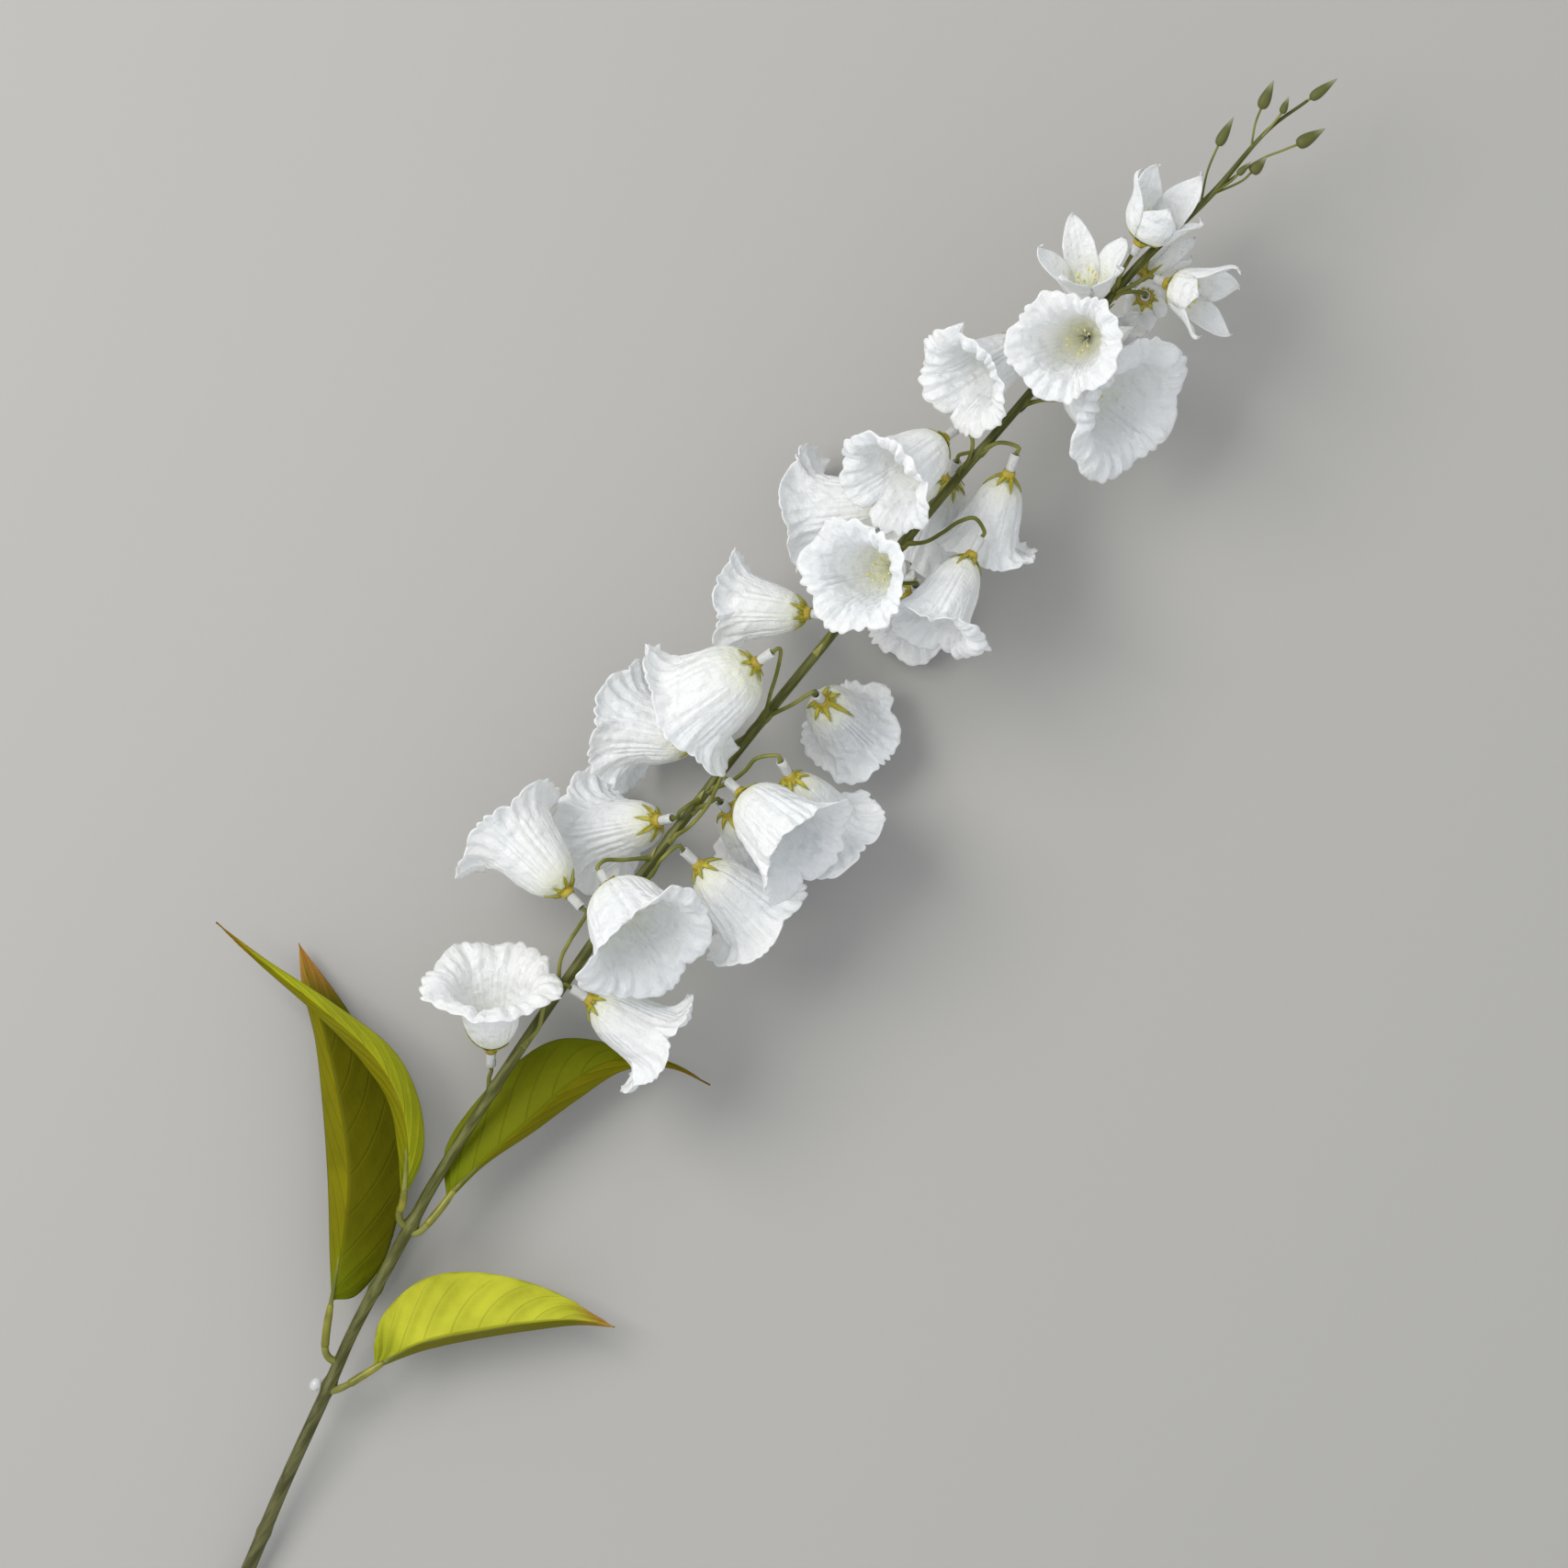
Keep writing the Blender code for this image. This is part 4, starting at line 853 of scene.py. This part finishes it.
# The leaves are cut from printed fabric with a pressed vein relief. Each is folded along a wire
# that is glued under its rib, and slides onto a stub of the stem with a short green sleeve.
Leaf = namedtuple("Leaf", "name stalk rib left right relief left_tint right_tint tip_tint")
# Tints for the leaves' halves. SHADE_LEAF is painted shade on a half turned from the lamp, and the
# lime tint is painted light on a curled half that faces it.
OLIVE_LEAF, SHADE_LEAF = (0.195, 0.180, 0.003), (0.108, 0.103, 0.002)
BRIGHT_LEAF, GREEN_LEAF = (0.52, 0.53, 0.040), (0.160, 0.178, 0.005)
LIT_LIME_LEAF, LEAF_BASE = (0.40, 0.42, 0.015), (0.16, 0.22, 0.004)
RED_TIP, BROWN_TIP = (0.50, 0.22, 0.05), (0.33, 0.14, 0.02)
GREEN_TUBE, PALE_TUBE = (0.17, 0.165, 0.010), (0.27, 0.26, 0.02)
LEAVES = (  # the rib ends in the tip, and so do both edges
    Leaf(
        "leaf_low_left",
        ((-18.6, -333.6, 27.5), (-23, -326, 28.5), (-28, -316, 30)),
        ((-29, -313, 30), (-40, -290, 34), (-57, -262, 35), (-80, -238, 31), (-104, -217, 24),
         (-125, -201, 15), (-138, -191, 8)),
        ((-29.5, -313.5, 29.5), (-45, -294, 25), (-62, -272, 22), (-83, -247, 19), (-105, -223, 15),
         (-125, -206, 11)),
        ((-28.5, -314, 29.5), (-20.5, -305, 25), (-21, -281, 23), (-37, -247, 22), (-65, -220, 19),
         (-100, -203, 15)),
        # the right half's tint is painted shade
        0.7, OLIVE_LEAF, SHADE_LEAF, RED_TIP,
    ),
    Leaf(
        "leaf_high_left",
        ((-27.5, -262.6, 38), (-28.5, -258.5, 39.5), (-32, -252, 43)),
        ((-30, -256, 40.5), (-40, -238, 48), (-57, -221, 54), (-80, -211, 54), (-110, -208, 47),
         (-145, -207, 35), (-174, -205, 26)),
        ((-30.5, -257, 39.5), (-44, -241, 41), (-61, -225, 41), (-82, -217, 41), (-110, -212, 38),
         (-145, -209, 31)),
        ((-29, -256.5, 39.5), (-34, -235, 39), (-50, -216, 39), (-74, -204, 38), (-108, -203, 36),
         (-145, -205, 31)),
        # the right half's lime tint is painted light
        2.0, OLIVE_LEAF, LIT_LIME_LEAF, BROWN_TIP,
    ),
    Leaf(
        "leaf_high_right",
        ((-13.7, -260, 36.5), (-13, -250, 37.5), (-13, -240, 38)),
        ((-13, -244, 37.5), (-10, -222, 38), (-4, -195, 38), (2, -168, 37), (12, -148, 33),
         (32, -135, 27), (54, -132, 21)),
        ((-14, -244.5, 37), (-27, -228, 33.5), (-29, -205, 31), (-25, -178, 29), (-13, -154, 27),
         (20, -138, 25)),
        ((-12, -244.5, 37), (-8, -222, 33), (1, -197, 30), (9, -172, 28), (18, -150, 27),
         (34, -137, 25)),
        0.9, GREEN_LEAF, OLIVE_LEAF, BROWN_TIP,
    ),
    Leaf(
        "leaf_low_right",
        ((0.5, -340.6, 27.5), (3.5, -333, 28.5), (7.5, -323, 30)),
        ((5.5, -327, 29.5), (16, -306, 34), (32, -288, 36), (50, -270, 34), (67, -256, 30),
         (84, -248, 24)),
        ((5, -328, 29), (-5.5, -308, 29), (0, -281, 29), (22, -262, 29), (52, -251, 27)),
        ((6, -328, 29), (19, -309, 18), (36, -290, 16), (54, -272, 18), (69, -258, 22)),
        3.4, BRIGHT_LEAF, OLIVE_LEAF, RED_TIP,
    ),
)
LEAF_STUBS = (
    ((-9.5, -336, 25), (-14.5, -336.5, 26.2)),
    ((-20, -266, 35.5), (-24.5, -266, 36.8)),
    ((-18.5, -268, 35), (-15, -265.5, 35.8)),
    ((-6, -350, 23), (-2.5, -346, 25.6)),
)
LEAF_ROWS, LEAF_COLUMNS, LEAF_WALL = 90, 33, 0.5
LEAF_WAVE, LEAF_WAVE_TURNS, LEAF_BULGE = 0.6, 23.0, 1.2
RIB_SINK, RIB_SINK_WIDTH = 0.25, 0.05
LEAF_TIP = 0.15  # the tip's width as a share of the last row's before it
VEIN_PAIRS, VEIN_SLANT = 9, 2.4
LEAF_ROUGHNESS, LEAF_RELIEF = 0.55, 0.8
WIRE_DROP, WIRE_STEP, WIRE_SIDES = 1.5, 1.6, 10
WIRE_PLACES, WIRE_RADII = (0, 0.08, 0.1, 0.25, 1), (1.9, 1.7, 1.55, 0.9, 0.4)
TUBE_STEP, TUBE_SIDES, TUBE_RADIUS = 1.0, 16, 1.95
TUBE_PLACES, TUBE_WIDTHS = (0, 0.06, 0.7, 1), (0.88, 1, 0.95, 0.7)


def even_rows(points, count):
    """A count of points at an even step along a smooth curve through the given points."""
    return even_points(smooth_path(points, 1.0), count)


def leaf_blade(leaf):
    """A blade between its rib and its two edges: each half bulges between them, the edge waves, and
    the pressed side veins raise low ridges that run out towards the tip."""
    tip = leaf.rib[-1]
    rib, left, right = (even_rows(line, LEAF_ROWS)[:, None]
                        for line in (leaf.rib, (*leaf.left, tip), (*leaf.right, tip)))
    for edge in (left, right):
        edge[-1] += LEAF_TIP * (edge[-2] - rib[-2])
    across = np.linspace(-1, 1, LEAF_COLUMNS)[None, :]
    share = np.linspace(0, 1, LEAF_ROWS)[:, None]
    out, on_left = np.abs(across), across < 0
    grid = rib + out[..., None] * (np.where(on_left[..., None], left, right) - rib)
    ends = rise(share, 0.0, 0.08) * (1 - rise(share, 0.88, 1.0))
    relief = np.where(on_left, leaf.relief, min(leaf.relief, 1.0))
    wave = LEAF_WAVE * np.sin(LEAF_WAVE_TURNS * share) * np.where(on_left, 1, -1) * out ** 2
    veins = np.cos(math.tau * (share * VEIN_PAIRS - VEIN_SLANT * out ** 1.2)) * out * (1.2 - out)
    sink = RIB_SINK * np.exp(-(out / RIB_SINK_WIDTH) ** 2)
    bulge = LEAF_BULGE * (1 - (2 * out - 1) ** 2)
    grid[..., 2] += ends * (relief * (wave + veins) + bulge - sink)
    return grid, over_grid(across, out, share), False


def leaf_fabric(leaf):
    """Printed green fabric with a tint on each half: on the lowest left leaf the half turned from
    the lamp is painted shade, and on the high left leaf the curled half that faces it is painted
    light. Painted shade darkens the pressed side veins and the rib; there are darker blotches, and
    a red or brown tip."""
    finish, shader, lay, place = new_finish(leaf.name + " fabric", LEAF_ROUGHNESS,
                                            Specular_IOR_Level=0.04)
    across, out, share = (lay.part(index) for index in range(3))
    darker = tuple(0.55 * value for value in leaf.right_tint)
    # Painted shade: half the left tint, laid on the pressed side veins and the rib to stand for the
    # shade in their creases.
    crease_shade = tuple(0.5 * value for value in leaf.left_tint)
    # Each half takes its tint; on the lowest left leaf the right half is painted shade, and on the
    # high left leaf the right half is painted light.
    tint = across.step(-0.06, 0.06).mix(leaf.left_tint, leaf.right_tint)
    tint = (place.noise(38.0, 3.0).step(0.35, 0.7) * 0.3).mix(tint, darker)
    vein = (share * VEIN_PAIRS - out ** 1.2 * VEIN_SLANT) * math.pi
    vein = (1 - abs(vein.math("SINE", vein)).step(0.0, 0.22)) * (1 - out.step(0.75, 1.0))
    rib = 1 - out.step(0.015, 0.06)
    lines = vein.math("MAXIMUM", vein * 0.7, rib * 0.75)
    # the veins and the rib take the painted shade
    tint = (lines * 0.45).mix(tint, crease_shade)
    tint = (share.step(0.25, 0.0) * 0.5).mix(tint, LEAF_BASE)
    tip = share.step(0.80, 0.98) * (0.4 + 0.6 * out)
    crumple, weave = place.noise(120.0, 2.0), place.noise(900.0, 1.0)
    paint(finish, shader, tip.mix(tint, leaf.tip_tint), lines * -0.4 + crumple + weave * 0.1,
          LEAF_RELIEF)
    return finish


def sleeve_plastic():
    """Clear soft tube over green wire: yellow green, streaked, with a gloss."""
    finish, shader, lay, place = new_finish("green sleeve plastic", 0.3, Subsurface_Weight=0.2,
                                            Subsurface_Scale=0.001)
    streaks = place.noise(120.0, 1.0)
    paint(finish, shader, streaks.step(0.35, 0.65).mix(GREEN_TUBE, PALE_TUBE), streaks, 0.1)
    return finish


sleeve_finish = sleeve_plastic()
for leaf, root in zip(LEAVES, LEAF_STUBS):
    piece = make_piece(leaf.name + "_blade", [leaf_blade(leaf)], leaf_fabric(leaf), LEAF_WALL)
    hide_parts(leaf.name)
    under_rib = even_rows(leaf.rib, 12)[2:-3] - (0, 0, WIRE_DROP)
    path = smooth_path([*root, *leaf.stalk, *under_rib], WIRE_STEP)
    radii = np.interp(np.linspace(0, 1, len(path)), WIRE_PLACES, WIRE_RADII)
    wire = carried_ring(path, radii, WIRE_SIDES), (THIN_KIND, 0, 0), True
    rib_wire = make_piece(leaf.name + "_wire", [wire], olive, caps=True)
    path = smooth_path(leaf.stalk, TUBE_STEP)
    radii = TUBE_RADIUS * np.interp(np.linspace(0, 1, len(path)), TUBE_PLACES, TUBE_WIDTHS)
    tube = carried_ring(path, radii, TUBE_SIDES), (0, 0, 0), True
    grip = make_piece(leaf.name + "_sleeve", [tube], sleeve_finish, caps=True)

# A small bead of clear glue stands out beside the lowest leaf joint. It was squeezed out while it
# was hot, and has set hard in a rounded lump.
GLUE_PLACE, GLUE_RADII = (-12.0, -350.5, 22.0), (2.7, 3.4, 2.2)
GLUE_ROWS, GLUE_SIDES = 11, 16
GLUE_GREY, GLUE_WHITE = (0.80, 0.82, 0.80), (0.90, 0.92, 0.92)

glue_finish, glue_shader, glue_lay, glue_at = new_finish("clear glue", 0.2, Transmission_Weight=0.5)
glue_tint = glue_at.noise(200.0).mix(GLUE_GREY, GLUE_WHITE)
paint(glue_finish, glue_shader, glue_tint, glue_at.noise(500.0), 0.2)
lift = np.linspace(-0.99, 0.99, GLUE_ROWS)[:, None]
girth = np.sqrt(1 - lift ** 2)
turn = np.arange(GLUE_SIDES)[None, :] * math.tau / GLUE_SIDES
bead = over_grid(girth * np.cos(turn), girth * np.sin(turn), lift) * GLUE_RADII + GLUE_PLACE
make_piece("glue_bead", [(bead, (0, 0, 0), True)], glue_finish, caps=True)
